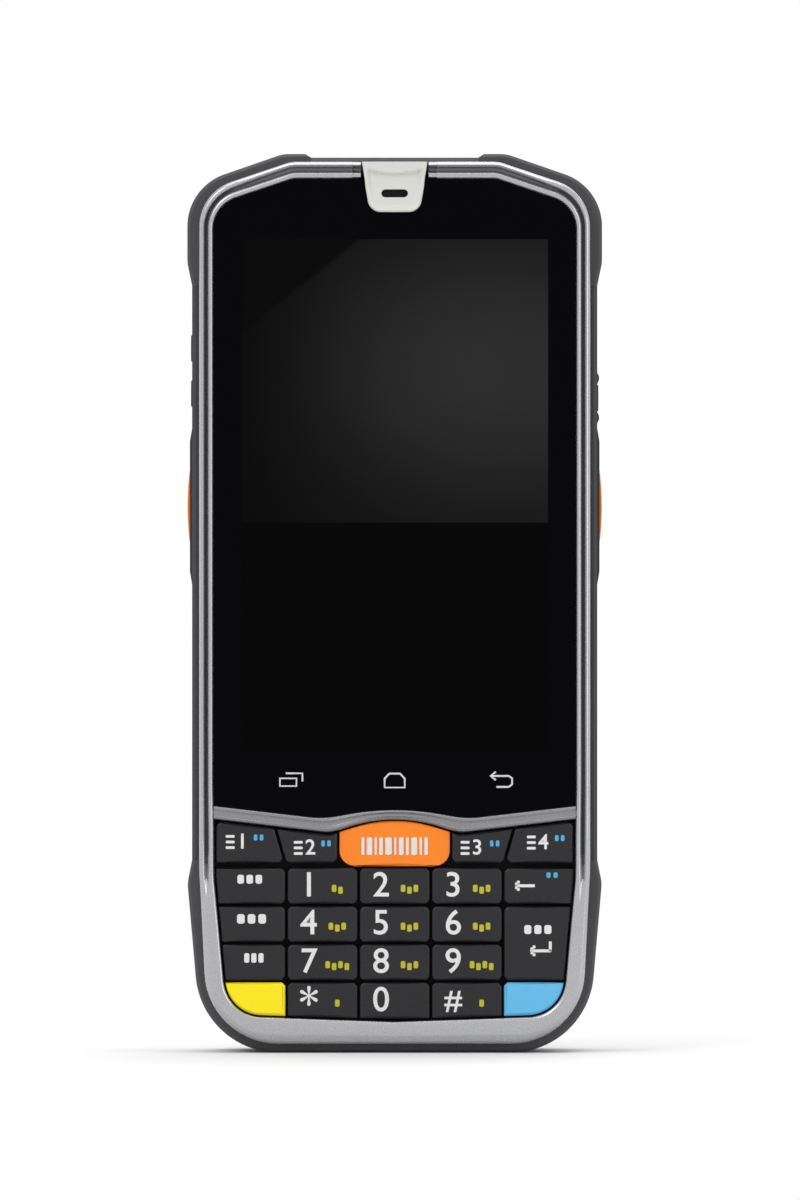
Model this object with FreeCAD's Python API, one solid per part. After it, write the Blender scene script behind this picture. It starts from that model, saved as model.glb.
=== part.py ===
import FreeCAD
import Part
import math
import os

os.makedirs("parts", exist_ok=True)
Vector = FreeCAD.Vector

# Case, seen from the front: X to the right, Z up, the front looks along -Y
depth = 26.0
front_y = -depth / 2
back_y = depth / 2
case_half_width = 34.3
case_top = 151.5
case_bottom = 1.0
shoulder_in = 15.4
shoulder_x = case_half_width - shoulder_in
shoulder_drop = 5.6
shoulder_radius = 8.5
crown_radius = 6.0
taper_start_z = 30.0
taper_radius = 20.0
taper_foot_in = 2.5
foot_radius = 13.0
back_edge_radius = 5.0
rim_chamfer = 0.6
case_wall = 3.0

# Rubber bumpers
bumper_bed = 1.4
bumper_back_y = 7.5
bumper_chamfer = 0.5
top_bumper_rise = 0.6
top_bumper_side = 0.8
top_bumper_lead = 4.7
top_bumper_inner_x = shoulder_x - top_bumper_lead
top_bumper_length = 21.7
top_bumper_low_z = case_top - top_bumper_length
bumper_ramp = 3.9
bumper_ramp_radius = 6.0
foot_bumper_side = 0.77
foot_bumper_top_z = 32.6
foot_bumper_radius = 14.0

# Silver front frame
frame_depth = 3.2
parting_y = front_y + frame_depth
frame_side_step = 1.23
frame_top_step = 0.8
frame_half_width = case_half_width - frame_side_step
frame_top = case_top - frame_top_step
frame_bottom = 1.5
frame_shoulder_step = 1.3
frame_shoulder_x = shoulder_x - frame_shoulder_step
frame_shoulder_drop = 5.2
frame_shoulder_radius = 8.0
frame_taper_in = 1.47
frame_foot_radius = 12.5
frame_chamfer = 0.5
groove_in = 0.95
groove_in_top = 0.75
groove_width = 0.3
groove_width_top = 0.85
groove_depth = 0.5
groove_low_z = 30.0

# Touch glass and display
glass_inset = 2.4
glass_inset_top = 2.9
glass_recess = 0.6
glass_thickness = 1.1
glass_gap = 0.1
glass_side_foot_z = 41.75
glass_dip_x = 12.2
glass_dip_z = 39.6
glass_dip_radius = 3.0
glass_corner = 0.8
glass_arch_z = 41.7
glass_arch_radius = 60.0
glass_ledge = 1.3
screen_side_border = 7.15
screen_top_border = 13.1
screen_bottom_z = 51.2
screen_width = 2 * (frame_half_width - screen_side_border)
screen_height = frame_top - screen_top_border - screen_bottom_z
display_side_border = 2.3
display_low_border = 4.2
display_top_border = 2.9
display_thickness = 2.6
gasket_thickness = 0.3
gasket_lip = 1.0

# Keypad
well_side_in = 2.57
well_half_width = frame_half_width - well_side_in
well_side_z = 39.5
well_dip_x = 11.0
well_dip_z = 37.2
well_dip_radius = 1.5
well_corner = 1.2
well_arch_z = 40.6
well_arch_radius = 22.0
well_taper_z = 29.5
well_taper_in = 2.1
well_foot_half = well_half_width - well_taper_in
well_foot_z = 6.3
well_foot_radius = 6.5
well_bottom_z = 5.3
well_bottom_radius = 300.0
key_columns = 5
key_pitch_x = 2 * well_half_width / key_columns
key_pitch_z = 6.45
first_row_z = 28.25
key_gap = 0.35
key_side_gap = 0.3
key_corner = 1.0
key_recess = 0.35
key_height = 2.3
key_chamfer = 0.45
key_crown_radius = 58.0
key_wall = 1.1
key_roof = 1.1
key_travel = 0.5
travel_margin = 0.1
scan_key_half = 9.35
scan_key_radius = 2.6
function_key_lift = 0.5
function_split_x = 19.35
function_split_lean = 0.85
mat_thickness = 0.9
mat_overlap = 0.6
mat_gap = 0.2
pad_gap = 0.3
board_thickness = 1.0

# Receiver cover and its speaker
cover_half_top = 5.55
cover_half_mid = 5.0
cover_mid_drop = 4.2
cover_half_foot = 4.05
cover_height = 8.5
cover_foot_radius = 1.6
cover_depth = 2.4
cover_waist_radius = 6.0
cover_top_radius = 0.3
cover_gap = 0.15
cover_dish = 0.4
cover_rim = 0.7
cover_brow = 1.6
cover_slot_half = 2.2
cover_slot_height = 1.35
cover_slot_drop = 5.35
notch_half = 7.2
speaker_width = 13.0
speaker_height = 4.8
speaker_thickness = 2.4

# Side triggers and buttons
trigger_drop = 59.05
trigger_z = case_top - trigger_drop
trigger_length = 13.5
trigger_width = 8.0
trigger_centre_y = -1.0
trigger_reach = 0.84
trigger_crown = 52.0
trigger_travel = 0.8
trigger_gap = 0.25
trigger_corner = 3.0
swell_rise = 0.4
swell_half_length = 11.0
swell_ramp = 2.4
swell_radius = 4.0
root_depth = 1.0
swell_half_depth = 6.5
flange_thickness = 0.8
flange_lip = 0.8
button_length = 4.5
button_width = 3.6
button_reach = 0.3
button_travel = 0.4
button_gap = 0.2
button_corner = 1.6
volume_drop = 36.0
volume_z = case_top - volume_drop
volume_spacing = 7.7
power_drop = 40.6
power_z = case_top - power_drop
nib_length = 1.2
nib_reach = 0.4
nib_gap = 0.5
nib_radius = 0.3
switch_depth = 1.2
switch_strip = 0.6
switch_margin = 0.3

# Battery, its bay and its door
battery_side_room = 10.3
battery_head_room = 58.5
battery_thickness = 8.6
battery_low_z = 29.0
battery_width = 2 * (case_half_width - battery_side_room)
battery_height = case_top - battery_head_room - battery_low_z
battery_gap = 0.4
battery_corner = 2.0
bay_floor = 1.4
bay_wall = 1.6
door_margin = 3.0
door_margin_foot = 4.6
door_thickness = 2.0
door_sink = 0.05
door_gap = 0.3
door_corner = 3.0
seal_thickness = 0.4
seal_width = 1.2
seal_gap = 0.1
hook_x = 14.0
hook_width = 6.0
hook_reach = 2.0
hook_thickness = 0.8
hook_sink = 0.8
hook_gap = 0.3
hook_swing = 0.9
latch_width = 14.0
latch_height = 7.0
latch_thickness = 0.75
latch_foot = 2.6
latch_travel = 2.2
latch_gap = 0.2
latch_corner = 1.2
tongue_width = 8.0
tongue_thickness = 0.5
tongue_sink = 0.6
tongue_gap = 0.1
catch_depth = 2.6
grip_grooves = 4
grip_groove_width = 0.6
grip_groove_depth = 0.3
grip_groove_length = 10.0

# Upper back: scan engine, camera, loudspeaker
upper_floor_drop = 50.5
upper_roof_drop = 10.5
upper_low_z = case_top - upper_floor_drop
upper_high_z = case_top - upper_roof_drop
upper_inset = 5.0
back_wall = 2.2
channel_floor_drop = 71.5
channel_roof_drop = 25.5
channel_low_z = case_top - channel_floor_drop
channel_high_z = case_top - channel_roof_drop
channel_back_y = 6.0
scan_window_side_room = 1.7
scan_window_width = 2 * (top_bumper_inner_x - scan_window_side_room)
scan_window_depth = 10.8
scan_window_y = 1.0
scan_window_thickness = 1.0
scan_window_sink = 0.4
scan_lip = 1.2
scan_corner = 1.5
scan_bay_gap = 0.6
engine_side_in = 1.7
engine_width = scan_window_width - 2 * engine_side_in
engine_height = 12.0
engine_top_gap = 0.5
engine_foot = 8.0
engine_lens_radius = 3.2
engine_lens_rise = 0.4
camera_x = 13.0
camera_drop = 27.5
camera_z = case_top - camera_drop
camera_size = 8.5
camera_length = 5.8
camera_window_radius = 4.6
camera_window_thickness = 1.0
camera_window_sink = 0.3
camera_hole_radius = 3.2
flash_offset = 9.0
flash_radius = 1.8
flash_gap = 0.1
loudspeaker_x = -13.0
loudspeaker_drop = 33.5
loudspeaker_z = case_top - loudspeaker_drop
loudspeaker_width = 18.0
loudspeaker_height = 13.0
loudspeaker_thickness = 3.5
grille_slots = 4
grille_pitch = 2.6
grille_length = 13.0
grille_width = 1.3

# Boards and what stands on them
main_board_low_z = 6.0
main_board_drop = 8.5
main_board_high_z = case_top - main_board_drop
can_thickness = 1.8
low_can_x = -9.0
low_can_z = 62.0
low_can_width = 26.0
low_can_height = 22.0
high_can_x = 13.0
high_can_z = 92.0
high_can_width = 18.0
high_can_height = 20.0
motor_x = 19.0
motor_drop = 17.5
motor_z = case_top - motor_drop
motor_radius = 4.0
motor_thickness = 3.0
contact_block_width = 16.0
contact_block_height = 4.0
contact_block_z = 36.0
contact_count = 5
contact_width = 1.4
contact_rise = 0.2

# Dock pocket in the base, strap bar and screws
dock_width = 26.0
dock_depth = 6.6
dock_y = 0.4
dock_recess = 4.6
dock_height = 4.5
dock_pads = 8
dock_pad_width = 1.2
dock_gap = 0.3
dock_corner = 1.5
strap_width = 24.0
strap_height = 9.0
strap_z = 13.5
strap_recess = 8.0
strap_corner = 2.5
strap_bar_radius = 1.0
strap_bar_sink = 2.2
strap_bar_seat = 2.0
screw_head_radius = 2.2
screw_head_height = 1.4
screw_shank_radius = 1.1
screw_length = 7.0
screw_sink = 0.6
screw_gap = 0.2
upper_screw_in = 16.3
upper_screw_drop = 6.5
upper_screw_x = case_half_width - upper_screw_in
upper_screw_z = case_top - upper_screw_drop
lower_screw_in = 9.8
lower_screw_x = case_half_width - lower_screw_in
lower_screw_z = 13.5

# Seal between frame and housing
rim_seal_in = 2.4
rim_seal_width = 0.6
rim_seal_depth = 0.3


def facing_front(u, v, w):
    return Vector(u, w, v)


def facing_side(u, v, w):
    return Vector(w, u, v)


def facing_up(u, v, w):
    return Vector(u, v, w)


def outline(corners, level, place=facing_front):
    # closed wire through corners (u, v, radius); a negative radius is a straight cut as deep as its arc would be
    bends = []
    for i, (u, v, radius) in enumerate(corners):
        here = place(u, v, level)
        before = place(corners[i - 1][0], corners[i - 1][1], level) - here
        after = place(corners[(i + 1) % len(corners)][0], corners[(i + 1) % len(corners)][1], level) - here
        before.normalize()
        after.normalize()
        half = before.getAngle(after) / 2
        cut_off = abs(radius) / math.sin(half) - abs(radius)
        if radius > 0:
            reach = radius / math.tan(half)
            middle = here + (before + after).normalize() * cut_off
        else:
            reach = cut_off / math.cos(half)
            middle = None
        bends.append((here + before * reach, middle, here + after * reach))
    edges = []
    for i, (start, middle, stop) in enumerate(bends):
        if middle is not None:
            edges.append(Part.Arc(start, middle, stop).toShape())
        elif (stop - start).Length > 1e-6:
            edges.append(Part.makeLine(start, stop))
        following = bends[(i + 1) % len(bends)][0]
        if (following - stop).Length > 1e-6:
            edges.append(Part.makeLine(stop, following))
    return Part.Wire(edges)


def prism(corners, low, high, place=facing_front):
    face = Part.Face(outline(corners, low, place))
    return face.extrude(place(0, 0, high) - place(0, 0, low))


def faceted(corners):
    # straight cuts in place of arcs, for edges that nothing shows
    return [(u, v, -abs(radius)) for u, v, radius in corners]


def mirrored(half):
    # a right half listed from the top centre down to the bottom centre, made whole
    left = [(-u, v, radius) for u, v, radius in reversed(half) if u > 0]
    return half + left


def rectangle(u, v, width, height, radius=0.0):
    left, right = u - width / 2, u + width / 2
    low, high = v - height / 2, v + height / 2
    return [(left, high, radius), (right, high, radius), (right, low, radius), (left, low, radius)]


def inset(corners, side, top=None):
    # moves every straight stretch inwards, those of the crown by their own distance
    count = len(corners)
    area = 0.0
    for i in range(count):
        u, v, _ = corners[i]
        p, q, _ = corners[(i + 1) % count]
        area += u * q - p * v
    turn = 1.0 if area > 0 else -1.0
    crown = max(corner[1] for corner in corners) - 2 * shoulder_drop
    lines = []
    for i in range(count):
        u, v, _ = corners[i]
        p, q, _ = corners[(i + 1) % count]
        length = math.hypot(p - u, q - v)
        distance = side
        if top is not None and min(v, q) > crown:
            distance = top
        nu, nv = -(q - v) / length * turn, (p - u) / length * turn
        lines.append((u + nu * distance, v + nv * distance, p - u, q - v))
    moved = []
    for i in range(count):
        a, b = lines[i - 1], lines[i]
        cross = a[2] * b[3] - a[3] * b[2]
        t = ((b[0] - a[0]) * b[3] - (b[1] - a[1]) * b[2]) / cross
        radius = corners[i][2]
        if radius > 0:
            convex = cross * turn > 0
            radius = max(radius - side, 0.2) if convex else radius + side
        moved.append((a[0] + a[2] * t, a[1] + a[3] * t, radius))
    return moved


def edges_at(solid, y):
    found = []
    for edge in solid.Edges:
        box = edge.BoundBox
        if abs(box.YMin - y) < 1e-4 and abs(box.YMax - y) < 1e-4:
            found.append(edge)
    return found


def cylinder(x, y, z, radius, length, axis):
    return Part.makeCylinder(radius, length, Vector(x, y, z), axis)


def fused(pieces):
    whole = pieces[0]
    for piece in pieces[1:]:
        whole = whole.fuse(piece)
    return whole.removeSplitter()


def save(name, shape):
    shape.exportStep("parts/" + name + ".step")


along_x = Vector(1, 0, 0)
along_y = Vector(0, 1, 0)
along_z = Vector(0, 0, 1)

case_outline = mirrored([
    (shoulder_x, case_top, crown_radius),
    (case_half_width, case_top - shoulder_drop, shoulder_radius),
    (case_half_width, taper_start_z, taper_radius),
    (case_half_width - taper_foot_in, case_bottom, foot_radius),
])
frame_outline = mirrored([
    (frame_shoulder_x, frame_top, crown_radius),
    (frame_half_width, frame_top - frame_shoulder_drop, frame_shoulder_radius),
    (frame_half_width, taper_start_z, taper_radius),
    (frame_half_width - frame_taper_in, frame_bottom, frame_foot_radius),
])
glass_crown = inset(frame_outline, glass_inset, glass_inset_top)[:2]
glass_outline = mirrored(glass_crown + [
    (frame_half_width - glass_inset, glass_side_foot_z, glass_corner),
    (glass_dip_x, glass_dip_z, glass_dip_radius),
])
glass_outline.insert(4, (0.0, glass_arch_z, glass_arch_radius))
well_outline = mirrored([
    (well_dip_x, well_dip_z, well_dip_radius),
    (well_half_width, well_side_z, well_corner),
    (well_half_width, well_taper_z, taper_radius),
    (well_foot_half, well_foot_z, well_foot_radius),
])
well_outline.insert(4, (0.0, well_bottom_z, well_bottom_radius))
well_outline.append((0.0, well_arch_z, well_arch_radius))

rim_y = parting_y + rim_seal_depth
glass_front_y = front_y + glass_recess
glass_back_y = glass_front_y + glass_thickness
display_front_y = glass_back_y + gasket_thickness
display_back_y = display_front_y + display_thickness
mat_back_y = parting_y + mat_thickness
key_board_back_y = mat_back_y + board_thickness
board_back_y = key_board_back_y + board_thickness
key_front_y = front_y + key_recess
key_back_y = key_front_y + key_height
door_back_y = back_y - door_sink
door_front_y = door_back_y - door_thickness
battery_back_y = door_front_y - battery_gap
battery_front_y = battery_back_y - battery_thickness
floor_back_y = battery_front_y - contact_rise
floor_front_y = floor_back_y - bay_floor
ledge_y = door_front_y - seal_thickness - seal_gap
battery_z = battery_low_z + battery_height / 2
bay_width = battery_width + 2 * battery_gap
bay_height = battery_height + 2 * battery_gap
door_width = bay_width + 2 * door_margin
door_foot_z = battery_low_z - battery_gap - door_margin_foot
door_top_z = battery_low_z + battery_height + battery_gap + door_margin
door_z = (door_foot_z + door_top_z) / 2
door_height = door_top_z - door_foot_z
cavity_half = case_half_width - case_wall
inner_back_y = back_y - back_wall
engine_top_z = case_top - case_wall - engine_top_gap
engine_z = engine_top_z - engine_height / 2
engine_y = scan_window_y
volume_levels = [volume_z + volume_spacing / 2, volume_z - volume_spacing / 2]


# Rear housing and its rubber


def foot_bumper_blank():
    side = case_half_width + foot_bumper_side
    corners = mirrored([
        (case_half_width, foot_bumper_top_z, 0),
        (side, foot_bumper_top_z - bumper_ramp, bumper_ramp_radius),
        (side - taper_foot_in, 0, foot_bumper_radius),
    ])
    return prism(corners, parting_y, bumper_back_y)


def top_bumper_blank(hand):
    rise = case_top + top_bumper_rise
    side = case_half_width + top_bumper_side
    shoulder_z = rise - shoulder_drop
    corners = [
        (top_bumper_inner_x, top_bumper_low_z, 0),
        (top_bumper_inner_x, case_top, 0),
        (top_bumper_inner_x + 1.5 * top_bumper_rise, rise, 0),
        (shoulder_x, rise, crown_radius),
        (side, shoulder_z, shoulder_radius + top_bumper_side),
        (side, top_bumper_low_z + bumper_ramp, bumper_ramp_radius),
        (case_half_width, top_bumper_low_z, 0),
    ]
    return prism([(hand * u, v, radius) for u, v, radius in corners], parting_y, bumper_back_y)


def bumper_band(blank):
    return blank.cut(prism(inset(case_outline, bumper_bed), parting_y, bumper_back_y))


def bumper(blank):
    band = bumper_band(blank)
    rims = [edge for edge in edges_at(band, parting_y) + edges_at(band, bumper_back_y) if outward(edge)]
    return band.makeChamfer(bumper_chamfer, rims)


def outward(edge):
    # true for an edge that runs along the bumper's outer wall and not across or inside it
    middle = edge.valueAt((edge.FirstParameter + edge.LastParameter) / 2)
    probe = Part.Face(outline(inset(case_outline, bumper_bed / 2), middle.y))
    return edge.Length > 4 * bumper_bed and probe.distToShape(Part.Vertex(middle))[0] > 1e-3


def side_opening(hand, z, width, length, radius, gap):
    grown = radius + math.copysign(gap, radius)
    corners = rectangle(trigger_centre_y, z, width + 2 * gap, length + 2 * gap, grown)
    return prism(corners, hand * (cavity_half - root_depth), hand * (case_half_width + 2 * root_depth), facing_side)


def swell(hand):
    side = case_half_width + swell_rise
    corners = [
        (case_half_width - root_depth, trigger_z + swell_half_length + swell_ramp, 0),
        (case_half_width, trigger_z + swell_half_length + swell_ramp, 0),
        (side, trigger_z + swell_half_length, swell_radius),
        (side, trigger_z - swell_half_length, swell_radius),
        (case_half_width, trigger_z - swell_half_length - swell_ramp, 0),
        (case_half_width - root_depth, trigger_z - swell_half_length - swell_ramp, 0),
    ]
    low = trigger_centre_y - swell_half_depth
    high = trigger_centre_y + swell_half_depth
    return prism([(hand * u, v, radius) for u, v, radius in corners], low, high)


def power_nib(way):
    centre = power_z + way * (button_length / 2 + nib_gap + nib_length / 2)
    reach = case_half_width + nib_reach
    corners = [
        (case_half_width - root_depth, centre + nib_length, 0),
        (case_half_width, centre + nib_length, 0),
        (reach, centre + nib_length / 4, nib_radius),
        (reach, centre - nib_length / 4, nib_radius),
        (case_half_width, centre - nib_length, 0),
        (case_half_width - root_depth, centre - nib_length, 0),
    ]
    return prism(corners, trigger_centre_y - button_width / 2, trigger_centre_y + button_width / 2)


def screw_shank(x, z):
    # low faces stand for the thread
    head_y = back_y - screw_sink - screw_head_height
    across = 2 * screw_shank_radius
    return prism(rectangle(x, z, across, across, -screw_shank_radius), head_y - screw_length, head_y)


def screw_places():
    return [
        (hand * x, z)
        for x, z in ((upper_screw_x, upper_screw_z), (lower_screw_x, lower_screw_z))
        for hand in (-1, 1)
    ]


def grille_levels():
    first = loudspeaker_z - (grille_slots - 1) * grille_pitch / 2
    return [first + i * grille_pitch for i in range(grille_slots)]


def dock_pocket(low, high):
    return prism(rectangle(0, dock_y, dock_width, dock_depth, -dock_corner), low, high, facing_up)


def housing_cavities():
    scan_bay_back_y = engine_y + scan_window_depth / 2 + scan_bay_gap
    channel_inner = bay_width / 2 + bay_wall
    channel_u = (channel_inner + cavity_half) / 2
    channel_z = (channel_low_z + channel_high_z) / 2
    channel = rectangle(channel_u, channel_z, cavity_half - channel_inner, channel_high_z - channel_low_z)
    upper = rectangle(0, (upper_low_z + upper_high_z) / 2, 2 * (case_half_width - upper_inset),
                      upper_high_z - upper_low_z, -battery_corner)
    scan_bay_foot = upper_high_z - root_depth
    scan_bay_top = case_top - case_wall
    scan_bay = rectangle(0, (scan_bay_foot + scan_bay_top) / 2, engine_width + 2 * scan_bay_gap,
                         scan_bay_top - scan_bay_foot)
    pieces = [
        prism(faceted(inset(case_outline, case_wall)), parting_y, floor_front_y),
        prism(upper, parting_y, inner_back_y),
        prism(scan_bay, parting_y, scan_bay_back_y),
        prism(rectangle(0, battery_z, bay_width, bay_height, -battery_corner), floor_back_y, back_y),
        prism(rectangle(0, door_z, door_width + 2 * door_gap, door_height + 2 * door_gap,
                        door_corner + door_gap), ledge_y, back_y),
        prism(rectangle(0, contact_block_z, contact_block_width, contact_block_height),
              floor_front_y, floor_back_y),
    ]
    for hand in (-1, 1):
        pieces.append(prism([(hand * u, v, r) for u, v, r in channel], parting_y, channel_back_y))
    return pieces


def door_seats():
    hook_back_y = back_y - hook_sink + hook_gap
    hook_front_y = door_front_y - hook_swing
    hook_z = door_top_z + (hook_reach + hook_gap) / 2
    catch_back_y = back_y - tongue_sink + tongue_gap
    catch_z = door_foot_z - (catch_depth + door_gap) / 2
    pieces = [
        prism(rectangle(hand * hook_x, hook_z, hook_width + 2 * hook_gap, hook_reach + 2 * hook_gap),
              hook_front_y, hook_back_y)
        for hand in (-1, 1)
    ]
    pieces.append(prism(rectangle(0, catch_z, tongue_width + 2 * latch_gap, catch_depth + door_gap),
                        catch_back_y - tongue_thickness - 2 * tongue_gap, catch_back_y))
    return pieces


def back_holes():
    window_front_y = back_y - camera_window_sink - camera_window_thickness
    pieces = [
        cylinder(camera_x, inner_back_y, camera_z, camera_hole_radius, back_wall, along_y),
        cylinder(camera_x, window_front_y, camera_z, camera_window_radius + flash_gap, back_wall, along_y),
        cylinder(camera_x, inner_back_y, camera_z - flash_offset, flash_radius + flash_gap, back_wall, along_y),
    ]
    for z in grille_levels():
        slot = rectangle(loudspeaker_x, z, grille_length, grille_width, -grille_width / 2)
        pieces.append(prism(slot, inner_back_y, back_y))
    head_y = back_y - screw_sink - screw_head_height
    for x, z in screw_places():
        pieces.append(cylinder(x, head_y, z, screw_head_radius + screw_gap, back_y - head_y, along_y))
        pieces.append(screw_shank(x, z))
    strap_front_y = back_y - strap_recess
    pieces.append(prism(rectangle(0, strap_z, strap_width, strap_height, -strap_corner), strap_front_y, back_y))
    pieces.append(strap_bar())
    return pieces


def scan_openings():
    seat_z = case_top - scan_window_sink - scan_window_thickness
    seat = rectangle(0, scan_window_y, scan_window_width + 2 * glass_gap, scan_window_depth + 2 * glass_gap, -scan_corner)
    hole = rectangle(0, scan_window_y, scan_window_width - 2 * scan_lip, scan_window_depth - 2 * scan_lip, -scan_corner)
    return [
        prism(seat, seat_z, case_top, facing_up),
        prism(hole, case_top - case_wall, seat_z, facing_up),
    ]


def rear_housing():
    shell = prism(case_outline, rim_y, back_y)
    shell = shell.makeFillet(back_edge_radius, edges_at(shell, back_y))
    shell = shell.makeChamfer(rim_chamfer, edges_at(shell, rim_y))
    shell = fused([shell, swell(-1), swell(1), power_nib(-1), power_nib(1)])
    cuts = [bumper_band(blank) for blank in (foot_bumper_blank(), top_bumper_blank(-1), top_bumper_blank(1))]
    cuts += housing_cavities() + door_seats() + back_holes() + scan_openings()
    cuts.append(dock_pocket(0, dock_recess + dock_height + dock_gap))
    for hand in (-1, 1):
        cuts.append(side_opening(hand, trigger_z, trigger_width, trigger_length, trigger_corner, trigger_gap))
    for z in volume_levels:
        cuts.append(side_opening(-1, z, button_width, button_length, -button_corner, button_gap))
    cuts.append(side_opening(1, power_z, button_width, button_length, -button_corner, button_gap))
    for piece in cuts:
        shell = shell.cut(piece)
    return shell.removeSplitter()


def rim_seal():
    outer = prism(faceted(inset(case_outline, rim_seal_in)), parting_y, rim_y)
    inner = prism(faceted(inset(case_outline, rim_seal_in + rim_seal_width)), parting_y, rim_y)
    return outer.cut(inner)


# Front frame, glass, display and receiver cover


cover_foot_z = frame_top - cover_height
cover_outline = mirrored([
    (cover_half_top, frame_top, cover_top_radius),
    (cover_half_mid, frame_top - cover_mid_drop, cover_waist_radius),
    (cover_half_foot, cover_foot_z, cover_foot_radius),
])
cover_back_y = front_y + cover_depth


def cover_seat():
    grown = prism(inset(cover_outline, -cover_gap), front_y, cover_back_y)
    top = rectangle(0, frame_top, 2 * (cover_half_top + cover_gap), 4 * cover_rim)
    return grown.fuse(prism(top, front_y, cover_back_y))


def ridge_groove():
    outer = inset(frame_outline, groove_in, groove_in_top)
    inner = inset(frame_outline, groove_in + groove_width, groove_in_top + groove_width_top)
    ring = prism(outer, front_y, front_y + groove_depth).cut(prism(inner, front_y, front_y + groove_depth))
    foot = rectangle(0, groove_low_z / 2, 2 * case_half_width, groove_low_z)
    return ring.cut(prism(foot, front_y, parting_y))


def front_frame():
    frame = prism(frame_outline, front_y, parting_y)
    frame = frame.makeChamfer(frame_chamfer, edges_at(frame, front_y))
    notch = rectangle(0, frame_top, 2 * notch_half, 2 * (glass_inset_top + glass_gap))
    cuts = [
        prism(inset(glass_outline, -glass_gap), front_y, glass_back_y),
        prism(faceted(inset(glass_outline, glass_ledge)), glass_back_y, parting_y),
        prism(well_outline, front_y, parting_y),
        ridge_groove(),
        prism(notch, front_y, front_y + cover_rim),
        cover_seat(),
    ]
    for piece in cuts:
        frame = frame.cut(piece)
    return frame.removeSplitter()


def touch_glass():
    return prism(glass_outline, glass_front_y, glass_back_y).cut(cover_seat())


def display_corners(grow):
    width = screen_width + 2 * grow
    low = screen_bottom_z - grow
    high = screen_bottom_z + screen_height + grow
    return rectangle(0, (low + high) / 2, width, high - low)


def module_corners():
    low = screen_bottom_z - display_low_border
    high = screen_bottom_z + screen_height + display_top_border
    return rectangle(0, (low + high) / 2, screen_width + 2 * display_side_border, high - low)


def display_module():
    return prism(module_corners(), display_front_y, display_back_y)


def display_gasket():
    ring = prism(module_corners(), glass_back_y, display_front_y)
    return ring.cut(prism(display_corners(gasket_lip), glass_back_y, display_front_y))


def receiver_cover():
    body = prism(cover_outline, front_y, cover_back_y)
    dish = prism(inset(cover_outline, cover_rim), front_y, front_y + cover_dish)
    brow = rectangle(0, frame_top - cover_brow / 2, 4 * cover_half_top, cover_brow)
    dish = dish.cut(prism(brow, front_y, cover_back_y))
    slot = rectangle(0, frame_top - cover_slot_drop, 2 * cover_slot_half, cover_slot_height, cover_slot_height / 2 - 0.01)
    return body.cut(dish).cut(prism(slot, front_y, cover_back_y))


def receiver_speaker():
    z = cover_foot_z + speaker_height / 2 - cover_rim
    return prism(rectangle(0, z, speaker_width, speaker_height), cover_back_y,
                 cover_back_y + speaker_thickness)


# Keys, mat and key board

key_field = inset(well_outline, key_side_gap)
scan_key_foot_z = first_row_z + key_pitch_z / 2 + key_gap / 2
function_key_foot_z = scan_key_foot_z + function_key_lift
beyond = 2 * key_pitch_x


def key_cap(cell, pocket):
    cap = prism(cell, key_front_y, key_back_y).common(prism(key_field, key_front_y, key_back_y))
    cap = cap.makeChamfer(key_chamfer, edges_at(cap, key_front_y))
    round_top = cylinder(pocket[0], key_front_y + key_crown_radius, -beyond, key_crown_radius,
                         case_top, along_z)
    hollow = prism(rectangle(*pocket), key_front_y + key_roof, key_back_y)
    return cap.common(round_top).cut(hollow)


def grid_cell(column, row, rows=1):
    # corners of one key of the grid; the outer ones run past the well, whose edge trims them
    left = (column - 2.5) * key_pitch_x + key_gap / 2
    right = (column - 1.5) * key_pitch_x - key_gap / 2
    high = first_row_z + (0.5 - row) * key_pitch_z - key_gap / 2
    low = first_row_z + (0.5 - row - rows) * key_pitch_z + key_gap / 2
    cell_left = left - beyond if column == 0 else left
    cell_right = right + beyond if column == 4 else right
    cell_low = low - beyond if row + rows == 4 else low
    cell = rectangle((cell_left + cell_right) / 2, (cell_low + high) / 2, cell_right - cell_left,
                     high - cell_low, -key_corner)
    trim = 2 * key_pitch_x - well_foot_half + key_pitch_x / 2
    shift = trim * (1 if column == 0 else -1 if column == 4 else 0)
    corner = column in (0, 4) and row == 3
    width = right - left - abs(shift) - 2 * key_wall - (trim if corner else 0)
    height = high - low - 2 * key_wall - (key_wall if corner else 0)
    pocket = ((left + right) / 2 + shift / 2 * (2 if corner else 1),
              (low + high) / 2 + (key_wall / 2 if corner else 0), width, height)
    return cell, pocket


def function_cell(hand, place):
    # place 0 lies beside the scan key and place 1 beside the frame, with a leaning split between them
    high = well_arch_z
    low = function_key_foot_z
    split_top = function_split_x + function_split_lean
    split_foot = function_split_x - function_split_lean
    inner = scan_key_half + key_gap
    if place == 0:
        corners = [
            (inner, high, 0),
            (inner, low, -key_corner),
            (split_foot - key_gap / 2, low, -key_corner),
            (split_top + (split_top - split_foot) - key_gap / 2, high + (high - well_dip_z), 0),
        ]
        near, far = inner, split_foot
    else:
        corners = [
            (split_top + (split_top - split_foot) + key_gap / 2, high + (high - well_dip_z), 0),
            (split_foot + key_gap / 2, low, -key_corner),
            (split_foot + beyond, low, 0),
            (split_foot + beyond, high + (high - well_dip_z), 0),
        ]
        near, far = split_top, well_half_width
    width = far - near - 2 * key_wall - 2 * key_gap
    height = well_dip_z - low - 2 * key_wall
    pocket = (hand * (near + far) / 2, (well_dip_z + low) / 2, width, height)
    return [(hand * u, v, radius) for u, v, radius in corners], pocket


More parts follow.
